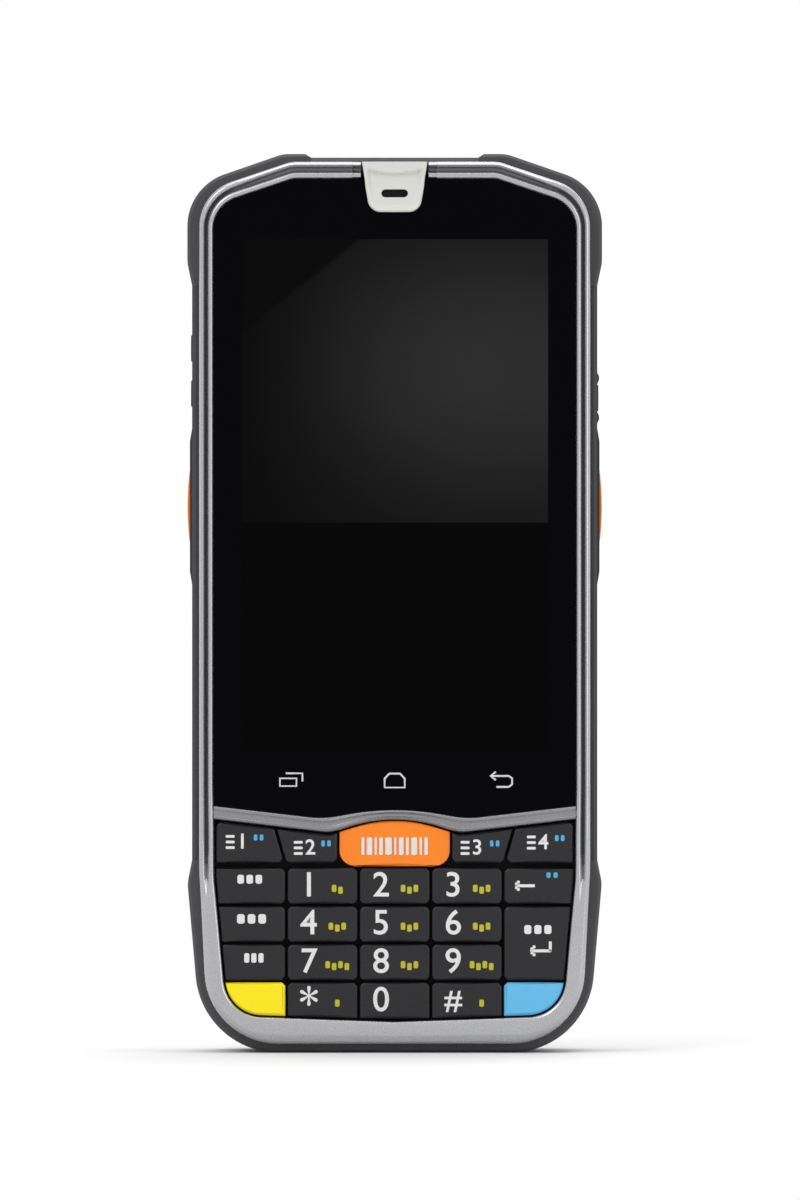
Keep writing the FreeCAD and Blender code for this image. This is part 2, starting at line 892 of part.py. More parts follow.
def scan_cell():
    corners = [
        (-scan_key_half, well_arch_z, 0),
        (scan_key_half, well_arch_z, 0),
        (scan_key_half, scan_key_foot_z, scan_key_radius),
        (-scan_key_half, scan_key_foot_z, scan_key_radius),
    ]
    height = well_dip_z - scan_key_foot_z - 2 * key_wall
    pocket = (0, (well_dip_z + scan_key_foot_z) / 2, 2 * (scan_key_half - key_wall), height)
    return corners, pocket


def key_cells():
    cells = {"key_scan": scan_cell()}
    cells["key_f1"] = function_cell(-1, 1)
    cells["key_f2"] = function_cell(-1, 0)
    cells["key_f3"] = function_cell(1, 0)
    cells["key_f4"] = function_cell(1, 1)
    names = [
        ["left_1", "1", "2", "3", "back"],
        ["left_2", "4", "5", "6", ""],
        ["left_3", "7", "8", "9", ""],
        ["yellow", "star", "0", "hash", "blue"],
    ]
    for row, line in enumerate(names):
        for column, name in enumerate(line):
            if name:
                cells["key_" + name] = grid_cell(column, row)
    cells["key_enter"] = grid_cell(4, 1, 2)
    return cells


def key_mat(cells):
    plate = prism(faceted(inset(well_outline, -mat_overlap)), parting_y, mat_back_y)
    plate = plate.common(prism(faceted(inset(case_outline, case_wall + mat_gap)), parting_y, mat_back_y))
    pad_front_y = key_front_y + key_roof + key_travel + travel_margin
    for cell, pocket in cells.values():
        u, v, width, height = pocket
        pad = rectangle(u, v, width - 2 * pad_gap, height - 2 * pad_gap)
        plate = plate.fuse(prism(pad, pad_front_y, parting_y))
    return plate.removeSplitter()


def key_board():
    plate = prism(faceted(well_outline), mat_back_y, key_board_back_y)
    return plate.common(prism(faceted(inset(case_outline, case_wall + mat_gap)), mat_back_y, key_board_back_y))


# Side triggers, side buttons and their switches


def plunger(hand, z, width, length, radius, reach, crown):
    flange_out = cavity_half - trigger_gap
    flange_in = flange_out - flange_thickness
    tip = case_half_width + reach
    cap = prism(rectangle(trigger_centre_y, z, width, length, radius), hand * flange_out, hand * tip, facing_side)
    if crown:
        drum = cylinder(hand * (tip - crown), -depth, z, crown, 2 * depth, along_y)
        cap = cap.common(drum)
    lip = rectangle(trigger_centre_y, z, width + 2 * flange_lip, length + 2 * flange_lip)
    return fused([cap, prism(lip, hand * flange_in, hand * flange_out, facing_side)])


def side_trigger(hand):
    return plunger(hand, trigger_z, trigger_width, trigger_length, trigger_corner, trigger_reach, trigger_crown)


def side_button(hand, z):
    return plunger(hand, z, button_width, button_length, -button_corner, button_reach, 0)


def side_switches():
    groups = []
    switch_out = cavity_half - trigger_gap - flange_thickness - trigger_travel - travel_margin
    switch_in = switch_out - switch_depth
    strip_in = switch_in - switch_strip
    strip_front_y = key_board_back_y
    strip_back_y = trigger_centre_y + button_width
    levels = {-1: [trigger_z] + volume_levels, 1: [trigger_z, power_z]}
    for hand, places in levels.items():
        low = trigger_z - trigger_length / 2
        high = max(places) + button_length / 2
        strip = rectangle((strip_front_y + strip_back_y) / 2, (low + high) / 2,
                          strip_back_y - strip_front_y, high - low)
        pieces = [prism(strip, hand * strip_in, hand * switch_in, facing_side)]
        for z in places:
            body = rectangle(trigger_centre_y, z, button_width, button_width)
            pieces.append(prism(body, hand * switch_in, hand * switch_out, facing_side))
        groups.append(fused(pieces))
    return Part.makeCompound(groups)


# Boards and what stands on them


def main_board():
    edge = cavity_half - trigger_gap - flange_thickness - trigger_travel - travel_margin - switch_depth - switch_strip
    corners = rectangle(0, (main_board_low_z + main_board_high_z) / 2, 2 * edge,
                        main_board_high_z - main_board_low_z)
    plate = prism(corners, key_board_back_y, board_back_y)
    return plate.common(prism(faceted(inset(case_outline, case_wall + mat_gap)), key_board_back_y, board_back_y))


def shield_cans():
    back = board_back_y + can_thickness
    cans = [
        prism(rectangle(low_can_x, low_can_z, low_can_width, low_can_height), board_back_y, back),
        prism(rectangle(high_can_x, high_can_z, high_can_width, high_can_height), board_back_y, back),
    ]
    return Part.makeCompound(cans)


def scan_engine():
    body = rectangle(0, engine_y, engine_width, scan_window_depth)
    engine = prism(body, engine_top_z - engine_height, engine_top_z, facing_up)
    low = engine_top_z - engine_foot
    foot = rectangle(0, (low + main_board_high_z) / 2, engine_width, main_board_high_z - low)
    foot = prism(foot, board_back_y, engine_y)
    lens = cylinder(engine_width / 4, engine_y, engine_top_z, engine_lens_radius, engine_lens_rise, along_z)
    return fused([engine, foot, lens])


def scan_window():
    seat_z = case_top - scan_window_sink - scan_window_thickness
    corners = rectangle(0, scan_window_y, scan_window_width, scan_window_depth, -scan_corner)
    return prism(corners, seat_z, seat_z + scan_window_thickness, facing_up)


def camera_module():
    base = rectangle(camera_x, camera_z, camera_size, camera_size)
    return prism(base, inner_back_y - camera_length, inner_back_y)


def camera_window():
    low = back_y - camera_window_sink - camera_window_thickness
    return cylinder(camera_x, low, camera_z, camera_window_radius, camera_window_thickness, along_y)


def flash_lens():
    return cylinder(camera_x, inner_back_y, camera_z - flash_offset, flash_radius,
                    back_wall - camera_window_sink, along_y)


def loudspeaker():
    corners = rectangle(loudspeaker_x, loudspeaker_z, loudspeaker_width, loudspeaker_height)
    return prism(corners, inner_back_y - loudspeaker_thickness, inner_back_y)


def vibration_motor():
    return cylinder(motor_x, board_back_y, motor_z, motor_radius, motor_thickness, along_y)


def battery_contacts():
    corners = rectangle(0, contact_block_z, contact_block_width, contact_block_height)
    pieces = [prism(corners, board_back_y, floor_back_y)]
    spacing = contact_block_width / contact_count
    for i in range(contact_count):
        u = (i - (contact_count - 1) / 2) * spacing
        blade = rectangle(u, contact_block_z, contact_width, contact_block_height - contact_width)
        pieces.append(prism(blade, floor_back_y, battery_front_y))
    return fused(pieces)


def dock_connector():
    block = rectangle(0, dock_y, dock_width - 2 * dock_gap, dock_depth - 2 * dock_gap, -dock_corner)
    low = dock_recess
    high = dock_recess + dock_height
    foot = rectangle(0, (main_board_low_z + high) / 2, dock_width / 2, high - main_board_low_z)
    connector = fused([prism(block, low, high, facing_up), prism(foot, board_back_y, dock_y)])
    spacing = (dock_width - 4 * dock_gap) / dock_pads
    for i in range(dock_pads):
        u = (i - (dock_pads - 1) / 2) * spacing
        groove = rectangle(u, dock_y, spacing - dock_pad_width, dock_depth / 2)
        connector = connector.cut(prism(groove, low, low + dock_gap, facing_up))
    return connector


# Battery, door, latch, strap bar and screws


def battery_pack():
    return prism(rectangle(0, battery_z, battery_width, battery_height, -battery_corner),
                 battery_front_y, battery_back_y)


def door_seal():
    inner_width = bay_width + battery_gap
    inner_height = bay_height + battery_gap
    outer = rectangle(0, battery_z, inner_width + 2 * seal_width, inner_height + 2 * seal_width,
                      -battery_corner - seal_width / 2)
    inner = rectangle(0, battery_z, inner_width, inner_height, -battery_corner)
    return prism(outer, ledge_y, ledge_y + seal_thickness).cut(prism(inner, ledge_y, ledge_y + seal_thickness))


latch_low_z = door_foot_z + latch_foot
latch_z = latch_low_z + latch_travel + latch_gap + latch_height / 2
tongue_back_y = back_y - tongue_sink
tongue_front_y = tongue_back_y - tongue_thickness


def battery_door():
    door = prism(rectangle(0, door_z, door_width, door_height, door_corner), door_front_y, door_back_y)
    pocket_height = latch_height + latch_travel + 2 * latch_gap
    pocket = rectangle(0, latch_low_z + pocket_height / 2, latch_width + 2 * latch_gap, pocket_height, -latch_corner)
    pocket_y = door_back_y - latch_thickness - tongue_gap
    channel = rectangle(0, (door_foot_z - door_gap + latch_z) / 2, tongue_width + 2 * latch_gap,
                        latch_z - door_foot_z + door_gap)
    door = door.cut(prism(pocket, pocket_y, back_y))
    door = door.cut(prism(channel, tongue_front_y - tongue_gap, tongue_back_y + tongue_gap))
    for hand in (-1, 1):
        hook_back_y = back_y - hook_sink
        hook = rectangle(hand * hook_x, door_top_z, hook_width, 2 * hook_reach)
        door = door.fuse(prism(hook, hook_back_y - hook_thickness, hook_back_y))
    return door.removeSplitter()


def battery_latch():
    plate = prism(rectangle(0, latch_z, latch_width, latch_height, -latch_corner), door_back_y - latch_thickness, door_back_y)
    tongue = rectangle(0, (door_foot_z + latch_z) / 2, tongue_width, latch_z - door_foot_z)
    pitch = latch_height / (grip_grooves + 1)
    latch = plate.fuse(prism(tongue, tongue_front_y, tongue_back_y))
    for i in range(grip_grooves):
        z = latch_z + (i - (grip_grooves - 1) / 2) * pitch
        groove = rectangle(0, z, grip_groove_length, grip_groove_width)
        latch = latch.cut(prism(groove, door_back_y - grip_groove_depth, door_back_y))
    return latch.removeSplitter()


def strap_bar():
    half = strap_width / 2 + strap_bar_seat
    return cylinder(-half, back_y - strap_bar_sink, strap_z, strap_bar_radius, 2 * half, along_x)


def housing_screws():
    screws = []
    head_y = back_y - screw_sink - screw_head_height
    for x, z in screw_places():
        head = cylinder(x, head_y, z, screw_head_radius, screw_head_height, along_y)
        screws.append(fused([head, screw_shank(x, z)]))
    return Part.makeCompound(screws)


def build():
    cells = key_cells()
    pieces = {
        "rear_housing": rear_housing(),
        "bumper_bottom": bumper(foot_bumper_blank()).cut(dock_pocket(0, dock_recess)),
        "bumper_top_left": bumper(top_bumper_blank(-1)),
        "bumper_top_right": bumper(top_bumper_blank(1)),
        "housing_seal": rim_seal(),
        "front_frame": front_frame(),
        "touch_glass": touch_glass(),
        "display_gasket": display_gasket(),
        "display_module": display_module(),
        "receiver_cover": receiver_cover(),
        "receiver_speaker": receiver_speaker(),
        "key_mat": key_mat(cells),
        "key_board": key_board(),
        "main_board": main_board(),
        "shield_cans": shield_cans(),
        "side_switches": side_switches(),
        "scan_engine": scan_engine(),
        "scan_window": scan_window(),
        "camera_module": camera_module(),
        "camera_window": camera_window(),
        "flash_lens": flash_lens(),
        "loudspeaker": loudspeaker(),
        "vibration_motor": vibration_motor(),
        "battery_contacts": battery_contacts(),
        "battery_pack": battery_pack(),
        "door_seal": door_seal(),
        "battery_door": battery_door(),
        "battery_latch": battery_latch(),
        "dock_connector": dock_connector(),
        "strap_bar": strap_bar(),
        "housing_screws": housing_screws(),
        "trigger_left": side_trigger(-1),
        "trigger_right": side_trigger(1),
        "volume_up": side_button(-1, volume_levels[0]),
        "volume_down": side_button(-1, volume_levels[1]),
        "power_button": side_button(1, power_z),
    }
    for name, (cell, pocket) in cells.items():
        pieces[name] = key_cap(cell, pocket)
    return pieces


for name, shape in build().items():
    save(name, shape)
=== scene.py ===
import bpy
import bmesh
import math
from mathutils import Matrix, Vector


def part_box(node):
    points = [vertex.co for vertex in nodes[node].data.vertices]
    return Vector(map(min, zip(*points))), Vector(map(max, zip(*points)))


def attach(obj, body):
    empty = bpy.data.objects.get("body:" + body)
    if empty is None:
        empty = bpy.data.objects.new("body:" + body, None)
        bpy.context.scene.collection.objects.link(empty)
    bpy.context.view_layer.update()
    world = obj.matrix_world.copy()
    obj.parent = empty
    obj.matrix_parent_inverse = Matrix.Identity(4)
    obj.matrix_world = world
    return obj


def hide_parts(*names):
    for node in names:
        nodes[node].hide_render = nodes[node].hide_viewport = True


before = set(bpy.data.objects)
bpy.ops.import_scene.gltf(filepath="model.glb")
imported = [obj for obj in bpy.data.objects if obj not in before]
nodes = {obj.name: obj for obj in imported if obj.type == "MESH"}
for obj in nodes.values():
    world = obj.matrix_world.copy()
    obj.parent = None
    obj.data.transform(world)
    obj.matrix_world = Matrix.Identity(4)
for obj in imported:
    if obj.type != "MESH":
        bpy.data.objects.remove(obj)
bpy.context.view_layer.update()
mm = 0.001
print("frame loaded:", len(nodes), "nodes")


def newMaterial(name):
    mat = bpy.data.materials.new(name)
    mat.use_nodes = True
    return mat, mat.node_tree, mat.node_tree.nodes["Principled BSDF"]


def addNode(tree, kind, **values):
    node = tree.nodes.new(kind)
    for key, value in values.items():
        setattr(node, key, value)
    return node


def objectCoords(tree, stretch=(1, 1, 1)):
    coords = addNode(tree, "ShaderNodeTexCoord")
    mapping = addNode(tree, "ShaderNodeMapping")
    mapping.inputs["Scale"].default_value = stretch
    tree.links.new(coords.outputs["Object"], mapping.inputs["Vector"])
    return mapping.outputs["Vector"]


def noiseTexture(tree, vector, scale, detail=3.0, rough=0.55):
    noise = addNode(tree, "ShaderNodeTexNoise")
    noise.inputs["Scale"].default_value = scale
    noise.inputs["Detail"].default_value = detail
    noise.inputs["Roughness"].default_value = rough
    tree.links.new(vector, noise.inputs["Vector"])
    return noise.outputs["Fac"]


noiseSpan = {"low": 0.3, "high": 0.7}  # where most of the noise lies


def spread(tree, fac, low, high):
    # turns noise into a range of numbers
    node = addNode(tree, "ShaderNodeMapRange")
    node.inputs["From Min"].default_value = noiseSpan["low"]
    node.inputs["From Max"].default_value = noiseSpan["high"]
    node.inputs["To Min"].default_value = low
    node.inputs["To Max"].default_value = high
    tree.links.new(fac, node.inputs["Value"])
    return node.outputs["Result"]


def mixColours(tree, fac, first, second):
    mix = addNode(tree, "ShaderNodeMix", data_type="RGBA")
    tree.links.new(fac, mix.inputs[0])
    for socket, value in ((mix.inputs[6], first), (mix.inputs[7], second)):
        if isinstance(value, tuple):
            socket.default_value = (*value, 1)
        else:
            tree.links.new(value, socket)
    return mix.outputs[2]


def addBump(tree, shader, height, strength, distance):
    bump = addNode(tree, "ShaderNodeBump")
    bump.inputs["Strength"].default_value = strength
    bump.inputs["Distance"].default_value = distance
    tree.links.new(height, bump.inputs["Height"])
    tree.links.new(bump.outputs["Normal"], shader.inputs["Normal"])


moulded = {"cloudDetail": 2.0, "grainDetail": 4.0, "duller": 0.06, "glossier": 0.05, "bump": 0.5,
           "coatRough": 0.15}


def mouldedFinish(name, colour, rough, grain=1500, grainDepth=0.00002, patch=60, vary=0.12,
                  metallic=0.0, specular=0.5, coat=0.0, sheen=0.0):
    # moulded plastic, rubber or paint: faint clouds of colour, uneven gloss and a fine grain
    mat, tree, shader = newMaterial(name)
    vector = objectCoords(tree)
    cloud = noiseTexture(tree, vector, patch, moulded["cloudDetail"])
    darker = tuple(c * (1 - vary) for c in colour)
    lighter = tuple(min(1.0, c * (1 + vary)) for c in colour)
    tree.links.new(mixColours(tree, cloud, darker, lighter), shader.inputs["Base Color"])
    fine = noiseTexture(tree, vector, grain, moulded["grainDetail"])
    gloss = spread(tree, fine, rough - moulded["glossier"], rough + moulded["duller"])
    tree.links.new(gloss, shader.inputs["Roughness"])
    addBump(tree, shader, fine, moulded["bump"], grainDepth)
    shader.inputs["Metallic"].default_value = metallic
    shader.inputs["Specular IOR Level"].default_value = specular
    shader.inputs["Coat Weight"].default_value = coat
    shader.inputs["Coat Roughness"].default_value = moulded["coatRough"]
    shader.inputs["Sheen Weight"].default_value = sheen
    return mat


brushed = {"lines": 900, "dark": 0.85, "gloss": 0.08, "bump": 0.25, "depth": 0.00002}


def brushedFinish(name, colour, rough, stretch):
    # bare metal, drawn out along one direction
    mat, tree, shader = newMaterial(name)
    lines = noiseTexture(tree, objectCoords(tree, stretch), brushed["lines"])
    darker = tuple(c * brushed["dark"] for c in colour)
    tree.links.new(mixColours(tree, lines, darker, colour), shader.inputs["Base Color"])
    gloss = spread(tree, lines, rough - brushed["gloss"], rough + brushed["gloss"])
    tree.links.new(gloss, shader.inputs["Roughness"])
    addBump(tree, shader, lines, brushed["bump"], brushed["depth"])
    shader.inputs["Metallic"].default_value = 1.0
    return mat


ink = {"specks": 2600, "faded": 0.86, "rough": 0.45}


def printFinish(name, colour):
    # opaque ink of the key marks, slightly uneven
    mat, tree, shader = newMaterial(name)
    specks = noiseTexture(tree, objectCoords(tree), ink["specks"])
    faded = tuple(c * ink["faded"] for c in colour)
    tree.links.new(mixColours(tree, specks, faded, colour), shader.inputs["Base Color"])
    shader.inputs["Roughness"].default_value = ink["rough"]
    return mat


# area of the display in mm, and the painted reflection of the room over it: painted glare on its
# upper part
screen = {
    "left": -25.8, "right": 25.92, "low": 51.2, "high": 137.6, "soft": 0.06,
    "horizon": 89.7, "horizonSoft": 0.1,
    "glass": (0.0008, 0.0008, 0.0018), "sky": (0.0016, 0.0016, 0.002),
    "paintedGlare": (0.026, 0.026, 0.0275), "ground": (0.0006, 0.0006, 0.0007),
    "hazeLeft": -30, "hazeRight": 16, "hazeMiddle": 116, "hazeFar": 30, "hazeNear": 2,
    "hazeLeast": 0.25, "slope": 0.8, "cutFrom": -143, "cutTo": -141.6,
    "cloud": 30, "cloudLow": 0.9, "cloudHigh": 1.08,
    "smudge": 45, "roughLow": 0.05, "roughHigh": 0.09, "specular": 0.03,
}


def glassFinish(name):
    # black glass with a painted reflection of the room over the display: painted glare above,
    # black below
    mat, tree, shader = newMaterial(name)
    coords = addNode(tree, "ShaderNodeTexCoord")
    parts = addNode(tree, "ShaderNodeSeparateXYZ")
    tree.links.new(coords.outputs["Object"], parts.inputs[0])

    def calc(operation, first, second=None):
        node = addNode(tree, "ShaderNodeMath", operation=operation)
        for socket, value in zip(node.inputs, (first, second)):
            if isinstance(value, (int, float)):
                socket.default_value = value
            elif value is not None:
                tree.links.new(value, socket)
        return node.outputs[0]

    def ramp(value, start, stop):
        node = addNode(tree, "ShaderNodeMapRange", interpolation_type="SMOOTHSTEP")
        node.inputs["From Min"].default_value = start * mm
        node.inputs["From Max"].default_value = stop * mm
        tree.links.new(value, node.inputs["Value"])
        return node.outputs["Result"]

    x, z = parts.outputs["X"], parts.outputs["Z"]
    s, soft = screen, screen["soft"]
    inside = ramp(x, s["left"] - soft, s["left"] + soft)
    inside = calc("MULTIPLY", inside, ramp(x, s["right"] + soft, s["right"] - soft))
    inside = calc("MULTIPLY", inside, ramp(z, s["low"] - soft, s["low"] + soft))
    inside = calc("MULTIPLY", inside, ramp(z, s["high"] + soft, s["high"] - soft))
    # the painted glare is brightest at the right of the upper part, and a slanting edge cuts its
    # corner
    across = ramp(x, s["hazeLeft"], s["hazeRight"])
    middle = calc("ABSOLUTE", calc("SUBTRACT", z, s["hazeMiddle"] * mm))
    height = ramp(middle, s["hazeFar"], s["hazeNear"])
    strength = calc("ADD", calc("MULTIPLY", height, 1 - s["hazeLeast"]), s["hazeLeast"])
    paintedGlare = calc("MULTIPLY", across, strength)
    slant = calc("SUBTRACT", calc("MULTIPLY", x, s["slope"]), z)
    paintedGlare = calc("MULTIPLY", paintedGlare, ramp(slant, s["cutFrom"], s["cutTo"]))
    cloud = noiseTexture(tree, objectCoords(tree), s["cloud"], 2.0)
    paintedGlare = calc("MULTIPLY", paintedGlare, spread(tree, cloud, s["cloudLow"], s["cloudHigh"]))
    # painted reflection: glare over the reflected sky above the horizon, the reflected ground
    # below
    upper = mixColours(tree, paintedGlare, s["sky"], s["paintedGlare"])
    above = ramp(z, s["horizon"] - s["horizonSoft"], s["horizon"] + s["horizonSoft"])
    paintedReflection = mixColours(tree, above, s["ground"], upper)
    tree.links.new(mixColours(tree, inside, s["glass"], paintedReflection), shader.inputs["Base Color"])
    smudge = noiseTexture(tree, objectCoords(tree), s["smudge"])
    tree.links.new(spread(tree, smudge, s["roughLow"], s["roughHigh"]), shader.inputs["Roughness"])
    shader.inputs["Specular IOR Level"].default_value = s["specular"]
    return mat


finishes = {
    "housing": mouldedFinish("housingPlastic", (0.036, 0.036, 0.039), 0.5, grain=1700,
                             grainDepth=0.00014, patch=45, vary=0.2, specular=0.4),
    "door": mouldedFinish("doorPlastic", (0.031, 0.031, 0.034), 0.53, grainDepth=0.00016,
                          patch=45, vary=0.2, specular=0.4),
    "rubber": mouldedFinish("bumperRubber", (0.056, 0.056, 0.06), 0.62, grain=1100,
                            grainDepth=0.00005, patch=50, vary=0.15, specular=0.4, sheen=0.1),
    "seal": mouldedFinish("sealRubber", (0.012, 0.012, 0.012), 0.75, grain=900),
    "silver": mouldedFinish("silverPaint", (0.43, 0.43, 0.445), 0.25, grain=5200,
                            grainDepth=0.0000015, patch=35, vary=0.04, metallic=0.85, coat=0.3),
    # painted shade for the deep bottom of the frame's groove
    "groove": mouldedFinish("grooveShade", (0.12, 0.12, 0.128), 0.42, grain=5200,
                            grainDepth=0.0000015, patch=35, vary=0.06, metallic=0.6),
    "trim": mouldedFinish("trimMetal", (0.25, 0.25, 0.258), 0.28, grain=5200,
                          grainDepth=0.0000015, patch=35, vary=0.04, metallic=0.85, coat=0.2),
    # near-black speaker cloth, darkened further as painted shade deep behind the receiver slot
    "speaker": mouldedFinish("speakerClothAndSlotShade", (0.004, 0.004, 0.004), 0.8, grain=2500,
                             grainDepth=0.00003),
    "lens": mouldedFinish("cameraLens", (0.006, 0.006, 0.02), 0.06, grain=300,
                          grainDepth=0.000001, patch=40, vary=0.1, coat=0.3),
    "cover": mouldedFinish("coverShell", (0.74, 0.74, 0.70), 0.36, grain=2600,
                           grainDepth=0.000006, vary=0.03, coat=0.2),
    "dark": mouldedFinish("darkPlastic", (0.022, 0.022, 0.024), 0.5),
    "mat": mouldedFinish("keyMatSilicone", (0.008, 0.008, 0.009), 0.7, grain=1200, specular=0.2),
    "board": mouldedFinish("boardMask", (0.012, 0.12, 0.05), 0.4, grain=700),
    "key": mouldedFinish("darkKeys", (0.012, 0.012, 0.014), 0.3, grain=2400,
                         grainDepth=0.000006, patch=90, vary=0.08, specular=0.28, coat=0.08),
    "orange": mouldedFinish("orangeKeys", (1.0, 0.24, 0.014), 0.32, grain=2400,
                            grainDepth=0.000008, patch=90, vary=0.04, specular=0.3, coat=0.08),
    "yellow": mouldedFinish("yellowKey", (1.0, 0.82, 0.002), 0.34, grain=2400,
                            grainDepth=0.000008, patch=90, vary=0.03, specular=0.3, coat=0.08),
    "blue": mouldedFinish("blueKey", (0.13, 0.50, 0.82), 0.34, grain=2400,
                          grainDepth=0.000008, patch=90, vary=0.03, specular=0.3, coat=0.08),
    "button": mouldedFinish("buttonRubber", (0.045, 0.045, 0.048), 0.55),
    "window": mouldedFinish("windowGlass", (0.014, 0.003, 0.004), 0.08, grain=300,
                            grainDepth=0.000001, patch=40, vary=0.2, specular=0.2),
    "flash": mouldedFinish("flashLens", (0.82, 0.79, 0.6), 0.2, grain=3500, grainDepth=0.00003,
                           patch=400, vary=0.1, coat=0.5),
    "battery": mouldedFinish("batteryWrap", (0.05, 0.05, 0.055), 0.5, grain=800),
    "steel": brushedFinish("satinSteel", (0.52, 0.52, 0.53), 0.34, (0.08, 1, 1)),
    "tin": brushedFinish("tinnedSheet", (0.6, 0.6, 0.6), 0.38, (1, 1, 0.1)),
    "gold": brushedFinish("goldContacts", (0.83, 0.6, 0.25), 0.25, (1, 0.2, 1)),
    # black glass whose display area carries a painted reflection of the room
    "glass": glassFinish("screenGlass"),
    "whiteInk": printFinish("whiteInk", (0.80, 0.80, 0.80)),
    "yellowInk": printFinish("yellowInk", (0.52, 0.48, 0.008)),
    "blueInk": printFinish("blueInk", (0.07, 0.42, 0.72)),
    "iconInk": printFinish("iconInk", (0.70, 0.70, 0.72)),
}
print("materials made:", len(finishes))

# mesh clean-up and soft edges of the CAD nodes: lengths in mm, angles in degrees
edges = {"weld": 0.002, "flat": 0.6, "angle": 28, "steps": 3}


def splitEdges(obj, angle):
    split = obj.modifiers.new("sharpEdges", "EDGE_SPLIT")
    split.split_angle = math.radians(angle)


def dressNode(name, finish, rounding=0.0):
    # a soft edge in mm, or where the mesh is too fine for one, shading split at the sharp edges
    obj = nodes[name]
    obj.data.materials.clear()
    obj.data.materials.append(finishes[finish])
    normals = obj.data.attributes.get("custom_normal")
    if normals:
        obj.data.attributes.remove(normals)
    obj.data.polygons.foreach_set("use_smooth", [True] * len(obj.data.polygons))
    weld = obj.modifiers.new("weld", "WELD")
    weld.merge_threshold = edges["weld"] * mm
    if not rounding:
        splitEdges(obj, edges["angle"])
        return
    flat = obj.modifiers.new("flatFaces", "DECIMATE")
    flat.decimate_type = "DISSOLVE"
    flat.angle_limit = math.radians(edges["flat"])
    bevel = obj.modifiers.new("softEdge", "BEVEL")
    bevel.limit_method = "ANGLE"
    bevel.angle_limit = math.radians(edges["angle"])
    bevel.width = rounding * mm
    bevel.segments = edges["steps"]
    bevel.use_clamp_overlap = False
    even = obj.modifiers.new("evenShading", "WEIGHTED_NORMAL")
    even.keep_sharp = False


# finish and soft edge of each CAD node that shows as it is
keptNodes = {
    "rear_housing": ("housing", 0), "bumper_bottom": ("rubber", 0),
    "bumper_top_left": ("rubber", 0), "bumper_top_right": ("rubber", 0),
    "housing_seal": ("seal", 0), "touch_glass": ("glass", 0.06), "display_gasket": ("seal", 0),
    "display_module": ("tin", 0), "receiver_speaker": ("speaker", 0.1), "key_mat": ("mat", 0),
    "key_board": ("board", 0), "main_board": ("board", 0), "shield_cans": ("tin", 0.15),
    "side_switches": ("dark", 0), "scan_engine": ("dark", 0), "scan_window": ("window", 0.12),
    "camera_module": ("dark", 0.2), "camera_window": ("window", 0), "flash_lens": ("flash", 0),
    "loudspeaker": ("dark", 0.2), "vibration_motor": ("tin", 0), "battery_contacts": ("gold", 0),
    "battery_pack": ("battery", 0.4), "door_seal": ("seal", 0), "battery_door": ("door", 0),
    "battery_latch": ("button", 0), "dock_connector": ("dark", 0), "strap_bar": ("steel", 0),
    "trigger_left": ("orange", 0.2), "trigger_right": ("orange", 0.2),
    "volume_up": ("button", 0.15), "volume_down": ("button", 0.15),
    "power_button": ("button", 0.15),
}
for name, (finish, rounding) in keptNodes.items():
    dressNode(name, finish, rounding)

keyCaps = {"edge": 0.16, "usual": "key", "not": ("key_mat", "key_board"),
           "coloured": {"key_scan": "orange", "key_yellow": "yellow", "key_blue": "blue"}}
keyNames = [name for name in nodes if name.startswith("key_") and name not in keyCaps["not"]]
for name in keyNames:
    dressNode(name, keyCaps["coloured"].get(name, keyCaps["usual"]), keyCaps["edge"])
print("CAD nodes dressed:", len(keptNodes) + len(keyNames))


def roundedPath(corners, arcSteps, lineSteps):
    # points along an open path whose corners (x, z, radius) are rounded
    points = []
    last = Vector(corners[0][:2])
    for i in range(1, len(corners)):
        here = Vector(corners[i][:2])
        if i == len(corners) - 1:
            start, arc = here, []
        elif corners[i][2] == 0:
            start, arc = here, [here] * arcSteps
        else:
            before = (Vector(corners[i - 1][:2]) - here).normalized()
            after = (Vector(corners[i + 1][:2]) - here).normalized()
            radius = corners[i][2]
            half = before.angle(after) / 2
            reach = radius / math.tan(half)
            centre = here + (before + after).normalized() * (radius / math.sin(half))
            start = here + before * reach
            stop = here + after * reach
            first = start - centre
            turn = first.angle_signed(stop - centre)
            arc = []
            for k in range(1, arcSteps + 1):
                angle = -turn * k / arcSteps
                cos, sin = math.cos(angle), math.sin(angle)
                spot = Vector((first.x * cos - first.y * sin, first.x * sin + first.y * cos))
                arc.append(centre + spot)
        points += [last.lerp(start, k / lineSteps) for k in range(lineSteps)]
        points.append(start)
        points += arc[:-1]
        last = arc[-1] if arc else start
    return points


def smooth(value, low, high):
    t = min(1.0, max(0.0, (value - low) / (high - low)))
    return t * t * (3 - 2 * t)


def joinRings(bm, rings):
    for a, b in zip(rings, rings[1:]):
        count = len(a)
        for k in range(count):
            bm.faces.new((a[k], a[(k + 1) % count], b[(k + 1) % count], b[k]))


def linkPiece(name, mesh, finish, body):
    obj = bpy.data.objects.new(name, mesh)
    bpy.context.scene.collection.objects.link(obj)
    obj.data.materials.append(finishes[finish])
    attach(obj, body)
    return obj


def meshPiece(bm, name, finish, body):
    bmesh.ops.remove_doubles(bm, verts=bm.verts, dist=0.0000005)
    bmesh.ops.recalc_face_normals(bm, faces=bm.faces)
    mesh = bpy.data.meshes.new(name)
    bm.to_mesh(mesh)
    bm.free()
    mesh.polygons.foreach_set("use_smooth", [True] * len(mesh.polygons))
    return linkPiece(name, mesh, finish, body)


